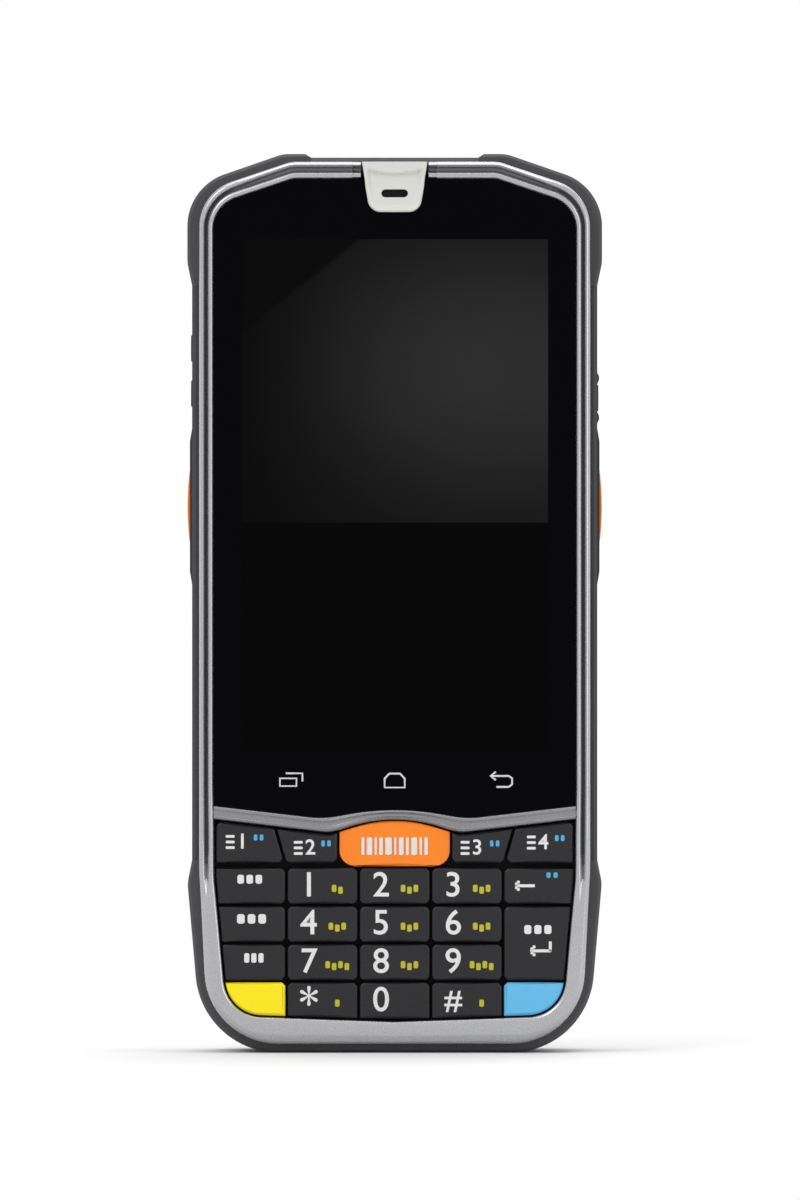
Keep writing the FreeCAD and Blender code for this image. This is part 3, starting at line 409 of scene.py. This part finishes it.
# half of the silver frame: corners (x, z, radius) of its two edges, and the height of each
# point across it, with two ridges at the sides, a flat band at the foot and a crown on top
silverBand = {
    "outer": [(5.75, 150.7, 0), (7.05, 150.7, 0), (7.25, 150.7, 0), (17.6, 150.7, 6),
              (33.07, 145.5, 8), (33.07, 45, 0), (33.07, 38, 0), (33.07, 30, 20),
              (31.6, 1.5, 12.5), (0, 1.5, 0)],
    "inner": [(5.75, 147.8, 0), (7.05, 147.8, 0), (7.25, 147.8, 0), (17.15, 147.8, 3.6),
              (30.65, 143.25, 5.6), (30.65, 45, 0), (30.52, 38, 0), (30.5, 29.5, 20),
              (28.4, 6.3, 6.5), (0, 5.3, 0)],
    "across": [0, 0, 0.035, 0.09, 0.16, 0.24, 0.32, 0.38, 0.43, 0.48, 0.53, 0.58, 0.64, 0.72,
               0.8, 0.88, 0.94, 0.98, 1, 1],
    "ridged": [-9.85, -12.0, -12.35, -12.68, -12.9, -12.95, -12.8, -12.52, -12.2, -12.08,
               -12.14, -12.42, -12.74, -12.95, -13.0, -12.93, -12.72, -12.5, -12.25, -10.1],
    "crown": [-9.85, -12.1, -12.45, -12.75, -12.92, -12.75, -12.3, -12.12, -12.1, -12.1,
              -12.12, -12.3, -12.68, -12.95, -13.0, -12.95, -12.78, -12.55, -12.3, -10.1],
    "plain": [-9.85, -11.6, -12.1, -12.5, -12.78, -12.92, -12.98, -13.0, -13.0, -13.0, -13.0,
              -13.0, -13.0, -12.99, -12.97, -12.92, -12.82, -12.68, -12.45, -9.95],
    "plainBelow": 24, "ridgedAbove": 35, "crownFrom": 146.5, "crownTo": 149.5,
    "notch": 0.75, "notchReach": 7.15, "notchAbove": 100, "notchFloor": -12.25,
    "arcSteps": 14, "lineSteps": 5, "sharp": 50,
    # rows across the band and depths in mm where the painted groove shade goes
    "grooveRows": range(7, 12), "grooveFrom": -12.5, "grooveTo": -12.6,
}


def bandRing(side, outerPoint, innerPoint):
    b = silverBand
    x, z = outerPoint
    plain = 1 - smooth(z, b["plainBelow"], b["ridgedAbove"])
    crown = smooth(z, b["crownFrom"], b["crownTo"])
    notched = x < b["notchReach"] and z > b["notchAbove"]
    ring = []
    for k, share in enumerate(b["across"]):
        y = b["ridged"][k] * (1 - plain) + b["plain"][k] * plain
        y = y * (1 - crown) + b["crown"][k] * crown
        if notched and 0 < k < len(b["across"]) - 1:
            y = max(y + b["notch"], b["notchFloor"])
        spot = outerPoint.lerp(innerPoint, share)
        ring.append(Vector((side * spot.x * mm, y * mm, spot.y * mm)))
    return ring


def shadeGroove(rows):
    # painted shade: the bottom of the groove takes a darker finish wherever it is deep
    b = silverBand
    for row in rows:
        for k in b["grooveRows"]:
            if row[k].co.y > b["grooveFrom"] * mm:
                for face in row[k].link_faces:
                    if all(corner.co.y > b["grooveTo"] * mm for corner in face.verts):
                        face.material_index = 1


def makeSilverBand():
    b = silverBand
    outer = roundedPath(b["outer"], b["arcSteps"], b["lineSteps"])
    inner = roundedPath(b["inner"], b["arcSteps"], b["lineSteps"])
    bm = bmesh.new()
    for side in (1, -1):
        rings = [bandRing(side, p, q) for p, q in zip(outer, inner)]
        rows = [[bm.verts.new(p) for p in ring] for ring in rings]
        joinRings(bm, rows)
        bm.faces.new(rows[0])
        shadeGroove(rows)
    band = meshPiece(bm, "silverBand", "silver", "case")
    # second slot: the painted shade in the groove
    band.data.materials.append(finishes["groove"])
    splitEdges(band, b["sharp"])
    return band


# bar over the keypad: its top and foot lines fall to a dip and arch over the scan key
trimBar = {
    "half": 30.6, "steps": 120, "sharp": 50,
    "across": [0, 0, 0.1, 0.24, 0.36, 0.5, 0.64, 0.76, 0.9, 1, 1],
    "heights": [-11.4, -12.35, -12.75, -12.85, -12.6, -12.5, -12.6, -12.85, -12.75, -12.35,
                -9.95],
    "top": {"sideX": 30.67, "sideZ": 41.75, "dipX": 12.2, "dipZ": 39.6, "apexZ": 41.7,
            "radius": 2.2},
    "foot": {"sideX": 30.5, "sideZ": 39.5, "dipX": 11.0, "dipZ": 37.2, "apexZ": 40.6,
             "radius": 1.2},
    "lift": 0.1, "arch": 7.6,
}


def arched(x, line):
    x = abs(x)
    dipX, dipZ, reach = line["dipX"], line["dipZ"], line["radius"]
    slopeOut = (line["sideZ"] - dipZ) / (line["sideX"] - dipX)
    slopeIn = -(line["apexZ"] - dipZ) / dipX
    if x > dipX:
        z = dipZ + slopeOut * (x - dipX)
    else:
        z = dipZ + (line["apexZ"] - dipZ) * (1 - x / dipX)
    if abs(x - dipX) < reach:
        t = (x - dipX + reach) / (2 * reach)
        low = dipZ - slopeIn * reach
        high = dipZ + slopeOut * reach
        z = (1 - t) ** 2 * low + 2 * t * (1 - t) * dipZ + t * t * high
    span = min(dipX - reach, trimBar["arch"])
    if x < span:
        edge = dipZ + (line["apexZ"] - dipZ) * (1 - span / dipX)
        z = edge + (-slopeIn) * span / 2 * (1 - (x / span) ** 2)
    return z


def makeTrimBar():
    t = trimBar
    bm = bmesh.new()
    rows = []
    for i in range(t["steps"] + 1):
        x = t["half"] * (2 * i / t["steps"] - 1)
        top = arched(x, t["top"]) + t["lift"]
        foot = arched(x, t["foot"])
        rows.append([bm.verts.new((x * mm, y * mm, (top + (foot - top) * share) * mm))
                     for share, y in zip(t["across"], t["heights"])])
    joinRings(bm, rows)
    bm.faces.new(rows[0])
    bm.faces.new(rows[-1])
    trim = meshPiece(bm, "trimBar", "trim", "case")
    splitEdges(trim, t["sharp"])


band = makeSilverBand()
makeTrimBar()
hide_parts("front_frame")

# off-white cover: outline, hollow face with a raised rim and brow, and its slot
receiver = {
    "top": 150.7, "foot": 142.2, "halfTop": 5.55, "halfMid": 4.95, "mid": 146.5, "halfFoot": 4.15,
    "flare": 1.3, "taper": 0.9, "corner": 1.7, "back": -10.6, "front": -13.0,
    "dish": 1.0, "dishLow": 0.45, "dishSide": 0.25, "rimIn": 0.3, "rim": 0.7, "rimFade": 0.6,
    "rimRound": 0.22, "footSlope": 0.95, "brow": 149.35, "browSag": 0.75, "browFrom": 0.12,
    "browTo": 0.35, "slotHalf": 2.25, "slotRadius": 0.68, "slotZ": 145.35, "slotLip": 0.1,
    "lipFrom": 0.05, "lipTo": 0.6, "lipEdge": 1.2, "cutFront": -14, "cutBack": -9,
    "columns": 56, "rows": 64, "fineRows": 0.25, "slotSteps": 14, "sharp": 45,
}


def receiverHalf(z):
    r = receiver
    if z > r["mid"]:
        rise = (z - r["mid"]) / (r["top"] - r["mid"])
        half = r["halfMid"] + (r["halfTop"] - r["halfMid"]) * rise ** r["flare"]
    else:
        rise = (z - r["foot"]) / (r["mid"] - r["foot"])
        half = r["halfFoot"] + (r["halfMid"] - r["halfFoot"]) * rise ** r["taper"]
    up = z - r["foot"]
    if up < r["corner"]:
        half -= r["corner"] - math.sqrt(max(0.0, r["corner"] ** 2 - (r["corner"] - up) ** 2))
    return half


def receiverDepth(x, z):
    r = receiver
    edge = min(receiverHalf(z) - abs(x), (z - r["foot"]) * r["footSlope"])
    y = r["front"] + r["rimRound"] * (1 - smooth(edge, 0, r["rimIn"]))
    lean = r["dishLow"] + (1 - r["dishLow"]) * smooth(z, r["foot"] + 1, r["brow"])
    hollow = r["dish"] * lean * smooth(edge, r["rimIn"], r["rim"] + r["rimFade"])
    hollow *= 1 - r["dishSide"] * (x / r["halfTop"]) ** 2
    browFoot = r["brow"] - r["browSag"] * (1 - (x / r["halfMid"]) ** 2)
    y += hollow * (1 - smooth(z, browFoot - r["browFrom"], browFoot + r["browTo"]))
    reach = math.hypot(max(0.0, abs(x) - (r["slotHalf"] - r["slotRadius"])), z - r["slotZ"])
    lip = 1 - smooth(reach, r["slotRadius"] + r["lipFrom"], r["slotRadius"] + r["lipTo"])
    return y - r["slotLip"] * lip * smooth(edge, r["rimIn"], r["lipEdge"])


def makeReceiver():
    r = receiver
    fine = r["fineRows"]
    bm = bmesh.new()
    front = []
    for j in range(r["rows"] + 1):
        t = j / r["rows"]
        if t <= fine:
            t = t * t / fine * (1 - t) / (1 - fine)  # closer rows round the foot
        z = r["foot"] + (r["top"] - r["foot"]) * t
        half = receiverHalf(z)
        line = []
        for i in range(r["columns"] + 1):
            x = half * (2 * i / r["columns"] - 1)
            line.append(bm.verts.new((x * mm, receiverDepth(x, z) * mm, z * mm)))
        front.append(line)
    for a, b in zip(front, front[1:]):
        for i in range(r["columns"]):
            bm.faces.new((a[i], a[i + 1], b[i + 1], b[i]))
    rim = ([line[0] for line in front] + front[-1][1:]
           + [line[-1] for line in front[-2::-1]] + front[0][-2:0:-1])
    back = [bm.verts.new((v.co.x, r["back"] * mm, v.co.z)) for v in rim]
    joinRings(bm, [rim, back])
    bm.faces.new(back)
    shell = meshPiece(bm, "receiverShell", "cover", "case")
    cutSlot(shell)
    splitEdges(shell, r["sharp"])
    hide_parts("receiver_cover")


def cutSlot(shell):
    r = receiver
    radius, steps = r["slotRadius"], r["slotSteps"]
    ring = []
    for side, first in ((1, math.pi / 2), (-1, math.pi * 1.5)):
        for k in range(steps + 1):
            angle = first - math.pi * k / steps
            ring.append((side * (r["slotHalf"] - radius) + radius * math.cos(angle),
                         r["slotZ"] + radius * math.sin(angle)))
    bm = bmesh.new()
    front = [bm.verts.new((x * mm, r["cutFront"] * mm, z * mm)) for x, z in ring]
    back = [bm.verts.new((x * mm, r["cutBack"] * mm, z * mm)) for x, z in ring]
    bm.faces.new(front)
    bm.faces.new(list(reversed(back)))
    joinRings(bm, [front, back])
    bmesh.ops.recalc_face_normals(bm, faces=bm.faces)
    mesh = bpy.data.meshes.new("slotCutter")
    bm.to_mesh(mesh)
    bm.free()
    cutter = bpy.data.objects.new("slotCutter", mesh)
    bpy.context.scene.collection.objects.link(cutter)
    cut = shell.modifiers.new("slot", "BOOLEAN")
    cut.operation = "DIFFERENCE"
    cut.object = cutter
    bpy.context.view_layer.update()
    depsgraph = bpy.context.evaluated_depsgraph_get()
    carved = bpy.data.meshes.new_from_object(shell.evaluated_get(depsgraph))
    shell.modifiers.clear()
    shell.data = carved
    bpy.data.objects.remove(cutter)


makeReceiver()
print("frame and receiver made")


def ringAt(bm, radius, x, y, z, steps):
    # a ring about the y axis, whose radius may change with the angle
    ring = []
    for k in range(steps):
        angle = 2 * math.pi * k / steps
        r = radius(angle) if callable(radius) else radius
        spot = ((x + r * math.cos(angle)) * mm, y * mm, (z + r * math.sin(angle)) * mm)
        ring.append(bm.verts.new(spot))
    return ring


# round heads with a lobed recess
screwHead = {
    "places": [(-18, 145), (18, 145), (-24.5, 13.5), (24.5, 13.5)], "top": 12.4, "foot": 11.0,
    "radius": 2.2, "edge": 0.22, "edgeBreak": 0.3, "lobes": 6, "recess": 0.92, "wave": 0.2,
    "depth": 0.75, "lip": 0.05, "lipOut": 0.06, "shankRadius": 1.05, "shankEnd": 4.05,
    "steps": 72, "sharp": 35,
}


def makeScrews():
    s = screwHead
    top, edge, radius = s["top"], s["edge"], s["radius"]

    def lobed(angle):
        return s["recess"] + s["wave"] * math.cos(s["lobes"] * angle)

    profile = [
        (lobed, top - s["depth"]), (lobed, top - s["lip"]),
        (lambda angle: lobed(angle) + s["lipOut"], top), (radius - edge, top),
        (radius - edge * s["edgeBreak"], top - edge * s["edgeBreak"]), (radius, top - edge),
        (radius, s["foot"]), (s["shankRadius"], s["foot"]), (s["shankRadius"], s["shankEnd"]),
    ]
    bm = bmesh.new()
    for x, z in s["places"]:
        rings = [ringAt(bm, size, x, y, z, s["steps"]) for size, y in profile]
        joinRings(bm, rings)
        bm.faces.new(rings[0])
        bm.faces.new(rings[-1])
    screws = meshPiece(bm, "screwSet", "steel", "case")
    splitEdges(screws, s["sharp"])
    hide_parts("housing_screws")


# turned rings on the camera window: radius and height of each point
cameraRings = {
    "x": 13.0, "z": 124.0, "steps": 72, "sharp": 35,
    "bezel": [(4.45, 12.7), (4.45, 12.82), (4.3, 12.88), (4.0, 12.88), (3.85, 12.8), (3.8, 12.7)],
    "pupil": [(1.9, 12.7), (1.85, 12.76), (1.5, 12.78), (1.35, 12.73), (0.9, 12.75),
              (0.4, 12.77), (0.05, 12.775)],
}


def turnedRings(bm, profile):
    c = cameraRings
    rings = [ringAt(bm, radius, c["x"], y, c["z"], c["steps"]) for radius, y in profile]
    joinRings(bm, rings)
    return rings


def makeCameraRings():
    bm = bmesh.new()
    rings = turnedRings(bm, cameraRings["bezel"])
    joinRings(bm, [rings[-1], rings[0]])
    bezel = meshPiece(bm, "cameraBezel", "steel", "case")
    splitEdges(bezel, cameraRings["sharp"])
    bm = bmesh.new()
    rings = turnedRings(bm, cameraRings["pupil"])
    bm.faces.new(rings[-1])
    bm.faces.new(rings[0])
    pupil = meshPiece(bm, "cameraPupil", "lens", "case")
    splitEdges(pupil, cameraRings["sharp"])


def barMesh(name, bars, thick, rounding=0.2):
    # flat raised bars (x, z, width, height) with cut corners, standing on y = 0 towards -y
    bm = bmesh.new()
    for x, z, width, height in bars:
        cut = rounding * min(width, height)
        left, right, low, high = x - width / 2, x + width / 2, z - height / 2, z + height / 2
        ring = [(left + cut, low), (right - cut, low), (right, low + cut), (right, high - cut),
                (right - cut, high), (left + cut, high), (left, high - cut), (left, low + cut)]
        front = [bm.verts.new((u, -thick, v)) for u, v in ring]
        back = [bm.verts.new((u, 0, v)) for u, v in ring]
        bm.faces.new(front)
        bm.faces.new(list(reversed(back)))
        joinRings(bm, [front, back])
    bmesh.ops.recalc_face_normals(bm, faces=bm.faces)
    mesh = bpy.data.meshes.new(name)
    bm.to_mesh(mesh)
    bm.free()
    mesh.transform(Matrix.Scale(mm, 4))
    return mesh


dockPads = {"count": 7, "pitch": 3.1, "width": 1.1, "depth": 3.2, "y": 0.4, "z": 4.6,
            "thick": 0.05}


def makeDockPads():
    d = dockPads
    bars = [((i - (d["count"] - 1) / 2) * d["pitch"], 0, d["width"], d["depth"])
            for i in range(d["count"])]
    mesh = barMesh("dockPads", bars, d["thick"])
    upright = Matrix.Rotation(math.radians(90), 4, "X")
    mesh.transform(Matrix.Translation((0, d["y"] * mm, d["z"] * mm)) @ upright)
    linkPiece("dockPads", mesh, "gold", "case")


makeScrews()
makeCameraRings()
makeDockPads()
print("screws, camera rings and dock contacts made")

# the crowned key tops, and the middle of each key that its frame side trims
keyTop = {
    "y": -12.65, "crown": 58.0, "lift": 0.03,
    "centres": {"key_f1": -25.35, "key_f2": -14.1, "key_f3": 14.1, "key_f4": 25.35,
                "key_left_1": -23.35, "key_left_2": -23.35, "key_left_3": -23.35,
                "key_yellow": -22.3, "key_back": 23.35, "key_enter": 23.35, "key_blue": 22.3},
}
printing = {"thick": 0.012, "swell": 0.045, "resolution": 5, "slot": "key_dark"}


def keyPlace(name, x, z):
    # the turn and place, in mm, that lay a mark on a key top
    low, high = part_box(name)
    offset = x - keyTop["centres"].get(name, (low.x + high.x) / 2 / mm)
    y = keyTop["y"] + offset * offset / (2 * keyTop["crown"]) - keyTop["lift"]
    turn = Matrix.Rotation(offset / keyTop["crown"], 4, "Z")
    return Matrix.Translation((x * mm, y * mm, z * mm)) @ turn


def textMark(piece, keyName, text, x, z, size):
    curve = bpy.data.curves.new(piece, "FONT")
    curve.body = text
    curve.size = size * mm
    curve.extrude = printing["thick"] * mm
    curve.offset = printing["swell"] * mm
    curve.align_x = "CENTER"
    curve.align_y = "CENTER"
    curve.resolution_u = printing["resolution"]
    obj = bpy.data.objects.new(piece, curve)
    bpy.context.scene.collection.objects.link(obj)
    obj.matrix_world = keyPlace(keyName, x, z) @ Matrix.Rotation(math.radians(90), 4, "X")
    bpy.context.view_layer.update()
    mesh = bpy.data.meshes.new_from_object(obj)
    mesh.transform(obj.matrix_world)
    bpy.data.objects.remove(obj)
    mesh.materials.clear()
    linkPiece(piece, mesh, "whiteInk", keyName)


def barMark(piece, keyName, bars, x, z, finish):
    mesh = barMesh(piece, bars, printing["thick"])
    mesh.transform(keyPlace(keyName, x, z))
    linkPiece(piece, mesh, finish, keyName)


# digit keys: column, row and the number of small yellow bars
digits = {
    "size": 5.9, "lead": -2.3, "columns": [-24.4, -12.2, 0, 12.2, 24.4],
    "rows": [28.3, 21.9, 15.4, 8.9],
    "keys": {"1": (1, 0, 2), "2": (2, 0, 3), "3": (3, 0, 3), "4": (1, 1, 3), "5": (2, 1, 3),
             "6": (3, 1, 3), "7": (1, 2, 4), "8": (2, 2, 3), "9": (3, 2, 4),
             "star": (1, 3, 1), "0": (2, 3, 0), "hash": (3, 3, 1)},
    "text": {"star": "*", "hash": "#"}, "grow": {"star": 1.25, "hash": 0.85},
    "shift": {"star": -0.7},
}
smallBars = {"offset": 2.5, "drop": -0.6, "width": 0.78, "height": 1.2, "step": 1.08,
             "stagger": 0.16}
for label, (column, row, count) in digits["keys"].items():
    name = "key_" + label
    x, z = digits["columns"][column], digits["rows"][row]
    size = digits["size"] * digits["grow"].get(label, 1.0)
    textMark("digit_" + label, name, digits["text"].get(label, label), x + digits["lead"],
             z + digits["shift"].get(label, 0), size)
    if count:
        s = smallBars
        bars = [((i - (count - 1) / 2) * s["step"], s["stagger"] * (-1) ** i, s["width"],
                 s["height"]) for i in range(count)]
        barMark("letters_" + label, name, bars, x + s["offset"], z + s["drop"], "yellowInk")

# function keys: three lines, a number and a pair of small blue bars
functionMarks = {
    "keys": {"f1": (-26.9, 35.7, "1", -23.0), "f2": (-15.4, 34.7, "2", -11.6),
             "f3": (12.8, 34.7, "3", 16.9), "f4": (24.0, 35.6, "4", 27.9)},
    "lines": [(0, 0.95, 1.5, 0.45), (0, 0, 1.5, 0.45), (0, -0.95, 1.5, 0.45)],
    "pair": [(-0.5, 0, 0.6, 1.0), (0.5, 0, 0.6, 1.0)],
    "linesOffset": -0.9, "numberOffset": 1.15, "numberSize": 3.6, "pairRise": 0.75,
}
for tag, (x, z, number, blueX) in functionMarks["keys"].items():
    f = functionMarks
    name = "key_" + tag
    barMark("bars_" + tag, name, f["lines"], x + f["linesOffset"], z, "whiteInk")
    textMark("number_" + tag, name, number, x + f["numberOffset"], z, f["numberSize"])
    barMark("shift_" + tag, name, f["pair"], blueX, z + f["pairRise"], "blueInk")

# left keys: three plain bars each, as (x, z, width, height) of the row
sideMarks = {
    "keys": {"left_1": (-24.5, 29.4, 4.6, 1.5), "left_2": (-24.2, 22.7, 5.4, 1.6),
             "left_3": (-23.8, 16.1, 3.6, 1.6)},
    "count": 3, "filled": 0.72,
}
for tag, (x, z, width, height) in sideMarks["keys"].items():
    step = width / sideMarks["count"]
    bars = [((i - 1) * step, 0, step * sideMarks["filled"], height)
            for i in range(sideMarks["count"])]
    barMark("word_" + tag, "key_" + tag, bars, x, z, "whiteInk")

# right keys: arrows and bars, each as (key, x, z, finish, bars)
rightMarks = {
    "arrow_back": ("key_back", 21.6, 28.3, "whiteInk",
                   [(0.5, 0, 3.2, 0.5), (-1.0, 0.32, 0.5, 0.5), (-0.7, 0.62, 0.5, 0.5),
                    (-1.0, -0.32, 0.5, 0.5), (-0.7, -0.62, 0.5, 0.5)]),
    "shift_back": ("key_back", 26.6, 30.1, "blueInk", [(-0.6, 0, 0.7, 0.9), (0.6, 0, 0.7, 0.9)]),
    "word_enter": ("key_enter", 24.2, 20.9, "whiteInk",
                   [(-1.7, 0, 1.2, 1.5), (0, 0, 1.2, 1.5), (1.7, 0, 1.2, 1.5)]),
    "arrow_enter": ("key_enter", 24.4, 17.3, "whiteInk",
                    [(0.3, 0, 3.6, 0.5), (1.9, 0.75, 0.5, 1.7), (-1.2, 0.34, 0.5, 0.5),
                     (-0.85, 0.66, 0.5, 0.5), (-1.2, -0.34, 0.5, 0.5), (-0.85, -0.66, 0.5, 0.5)]),
}
for piece, (name, x, z, finish, bars) in rightMarks.items():
    barMark(piece, name, bars, x, z, finish)

# scan key: a row of bars, in two halves that each follow the crown
scanMark = {"widths": (0.5, 0.9, 0.35, 0.6, 1.1, 0.35, 0.8, 0.45, 1.0, 0.4, 0.6), "gap": 0.42,
            "height": 3.0, "z": 35.0}
bars, cursor = [], 0.0
for width in scanMark["widths"]:
    bars.append((cursor + width / 2, width))
    cursor += width + scanMark["gap"]
half = (cursor - scanMark["gap"]) / 2
for word, side in (("left", -1), ("right", 1)):
    part = [(u - half, width) for u, width in bars if (u - half) * side > 0]
    middle = sum(u for u, width in part) / len(part)
    barMark("scan_bars_" + word, "key_scan",
            [(u - middle, 0, width, scanMark["height"]) for u, width in part],
            middle, scanMark["z"], "whiteInk")
print("key marks laid")

# line drawings under the display: place, then strokes that are closed or open
touchMarks = {
    "y": -12.405, "thick": 0.34, "flatten": 0.12, "roundness": 2,
    "drawings": {
        "recentMark": (-17.5, 46.3, [
            ([(-1.9, -1.15), (0.9, -1.15), (0.9, 0.15), (-1.9, 0.15)], True),
            ([(-0.9, 1.0), (1.9, 1.0), (1.9, -0.35)], False)]),
        "homeMark": (0.0, 46.1, [
            ([(-1.7, -1.2), (1.7, -1.2), (1.7, 0.3), (0.9, 1.15), (-0.9, 1.15), (-1.7, 0.3)],
             True)]),
        "backMark": (18.1, 46.1, [
            ([(-1.9, 0.75), (1.2, 0.75), (1.75, 0.35), (1.75, -0.65), (1.2, -1.1),
              (-0.9, -1.1)], False),
            ([(-1.0, 1.45), (-1.9, 0.75), (-1.0, 0.05)], False)]),
    },
}


def lineDrawing(piece, x, z, strokes):
    t = touchMarks
    curve = bpy.data.curves.new(piece, "CURVE")
    curve.dimensions = "3D"
    curve.bevel_depth = t["thick"] / 2 * mm
    curve.bevel_resolution = t["roundness"]
    for points, closed in strokes:
        spline = curve.splines.new("POLY")
        spline.points.add(len(points) - 1)
        for point, (u, v) in zip(spline.points, points):
            point.co = (u * mm, 0, v * mm, 1)
        spline.use_cyclic_u = closed
    obj = bpy.data.objects.new(piece, curve)
    bpy.context.scene.collection.objects.link(obj)
    bpy.context.view_layer.update()
    mesh = bpy.data.meshes.new_from_object(obj)
    bpy.data.objects.remove(obj)
    place = Matrix.Translation((x * mm, t["y"] * mm, z * mm))
    mesh.transform(place @ Matrix.Diagonal((1, t["flatten"], 1, 1)))
    mesh.materials.clear()
    linkPiece(piece, mesh, "iconInk", "case")


for piece, (x, z, strokes) in touchMarks["drawings"].items():
    lineDrawing(piece, x, z, strokes)
print("touch marks laid")

# a level view of the front from far away: "tall" is the height that the frame takes in, in mm
view = {"x": 0.9, "z": 76.6, "away": 2200.0, "tall": 202.8, "front": -13.0, "sensor": 36.0,
        "clip": 20}


def makeCamera():
    data = bpy.data.cameras.new("frontCamera")
    data.sensor_width = view["sensor"]
    data.lens = view["sensor"] * view["away"] / view["tall"]
    data.clip_end = view["clip"]
    camera = bpy.data.objects.new("frontCamera", data)
    bpy.context.scene.collection.objects.link(camera)
    camera.location = (view["x"] * mm, (view["front"] - view["away"]) * mm, view["z"] * mm)
    camera.rotation_euler = (math.radians(90), 0, 0)
    bpy.context.scene.camera = camera


# pale sheet that fades out into the white room around it, in metres
paper = {"dark": (0.90, 0.90, 0.90), "light": (0.92, 0.92, 0.92), "cloud": 6, "rough": 0.9,
         "specular": 0.1, "fadeFrom": 0.2, "fadeTo": 0.42, "half": 0.45, "squares": 8}


def makeFloor():
    mat, tree, shader = newMaterial("paperFloor")
    cloud = noiseTexture(tree, objectCoords(tree), paper["cloud"], 2.0)
    colour = mixColours(tree, cloud, paper["dark"], paper["light"])
    tree.links.new(colour, shader.inputs["Base Color"])
    shader.inputs["Roughness"].default_value = paper["rough"]
    shader.inputs["Specular IOR Level"].default_value = paper["specular"]
    coords = addNode(tree, "ShaderNodeTexCoord")
    reach = addNode(tree, "ShaderNodeVectorMath", operation="LENGTH")
    fade = addNode(tree, "ShaderNodeMapRange", interpolation_type="SMOOTHSTEP")
    fade.inputs["From Min"].default_value = paper["fadeFrom"]
    fade.inputs["From Max"].default_value = paper["fadeTo"]
    clear = addNode(tree, "ShaderNodeBsdfTransparent")
    mix = addNode(tree, "ShaderNodeMixShader")
    tree.links.new(coords.outputs["Object"], reach.inputs[0])
    tree.links.new(reach.outputs["Value"], fade.inputs["Value"])
    tree.links.new(fade.outputs["Result"], mix.inputs[0])
    tree.links.new(shader.outputs[0], mix.inputs[1])
    tree.links.new(clear.outputs[0], mix.inputs[2])
    tree.links.new(mix.outputs[0], tree.nodes["Material Output"].inputs["Surface"])
    bm = bmesh.new()
    bmesh.ops.create_grid(bm, x_segments=paper["squares"], y_segments=paper["squares"],
                          size=paper["half"])
    mesh = bpy.data.meshes.new("paperFloor")
    bm.to_mesh(mesh)
    bm.free()
    mesh.materials.append(mat)
    floor = bpy.data.objects.new("paperFloor", mesh)
    bpy.context.scene.collection.objects.link(floor)


# the room's own light, brighter from above
room = {"strength": 0.62, "from": -0.4, "to": 0.7, "low": 0.55, "high": 1.15}


def makeWorld():
    world = bpy.data.worlds.new("paleRoom")
    bpy.context.scene.world = world
    world.use_nodes = True
    tree = world.node_tree
    tree.nodes.clear()
    out = addNode(tree, "ShaderNodeOutputWorld")
    dim = addNode(tree, "ShaderNodeBackground")
    white = addNode(tree, "ShaderNodeBackground")
    white.inputs["Color"].default_value = (1, 1, 1, 1)
    white.inputs["Strength"].default_value = 1.0
    dim.inputs["Strength"].default_value = room["strength"]
    coords = addNode(tree, "ShaderNodeTexCoord")
    parts = addNode(tree, "ShaderNodeSeparateXYZ")
    tree.links.new(coords.outputs["Generated"], parts.inputs[0])
    height = addNode(tree, "ShaderNodeMapRange")
    height.inputs["From Min"].default_value = room["from"]
    height.inputs["From Max"].default_value = room["to"]
    height.inputs["To Min"].default_value = room["low"]
    height.inputs["To Max"].default_value = room["high"]
    tree.links.new(parts.outputs["Z"], height.inputs["Value"])
    tree.links.new(height.outputs["Result"], dim.inputs["Color"])
    # the view, reflections and glass see plain white
    path = addNode(tree, "ShaderNodeLightPath")
    sharp = addNode(tree, "ShaderNodeMath", operation="MAXIMUM")
    seen = addNode(tree, "ShaderNodeMath", operation="MAXIMUM")
    tree.links.new(path.outputs["Is Glossy Ray"], sharp.inputs[0])
    tree.links.new(path.outputs["Is Transmission Ray"], sharp.inputs[1])
    tree.links.new(path.outputs["Is Camera Ray"], seen.inputs[0])
    tree.links.new(sharp.outputs[0], seen.inputs[1])
    mix = addNode(tree, "ShaderNodeMixShader")
    tree.links.new(seen.outputs[0], mix.inputs[0])
    tree.links.new(dim.outputs[0], mix.inputs[1])
    tree.links.new(white.outputs[0], mix.inputs[2])
    tree.links.new(mix.outputs[0], out.inputs["Surface"])


# soft boxes: place, size in metres and power, all turned to the middle of the terminal
softBoxes = {
    "keyLight": ((-0.55, -0.75, 0.75), (0.5, 0.5), 3.4),
    "fillLight": ((0.8, -0.6, 0.35), (0.35, 0.7), 1.6),
    "topLight": ((0.0, 0.1, 0.95), (0.8, 0.5), 3.2),
    "backLight": ((0.3, 0.9, 0.6), (0.6, 0.6), 2.2),
}
lightsAimAt = (0, 0, 0.076)


def softLight(name, place, size, power):
    data = bpy.data.lights.new(name, "AREA")
    data.shape = "RECTANGLE"
    data.size, data.size_y = size
    data.energy = power
    lamp = bpy.data.objects.new(name, data)
    bpy.context.scene.collection.objects.link(lamp)
    lamp.location = place
    aim = Vector(lightsAimAt) - Vector(place)
    lamp.rotation_euler = aim.to_track_quat("-Z", "Y").to_euler()


makeCamera()
makeFloor()
makeWorld()
for name, (place, size, power) in softBoxes.items():
    softLight(name, place, size, power)
bpy.context.scene.view_settings.view_transform = "Standard"
print("camera, floor and light set")
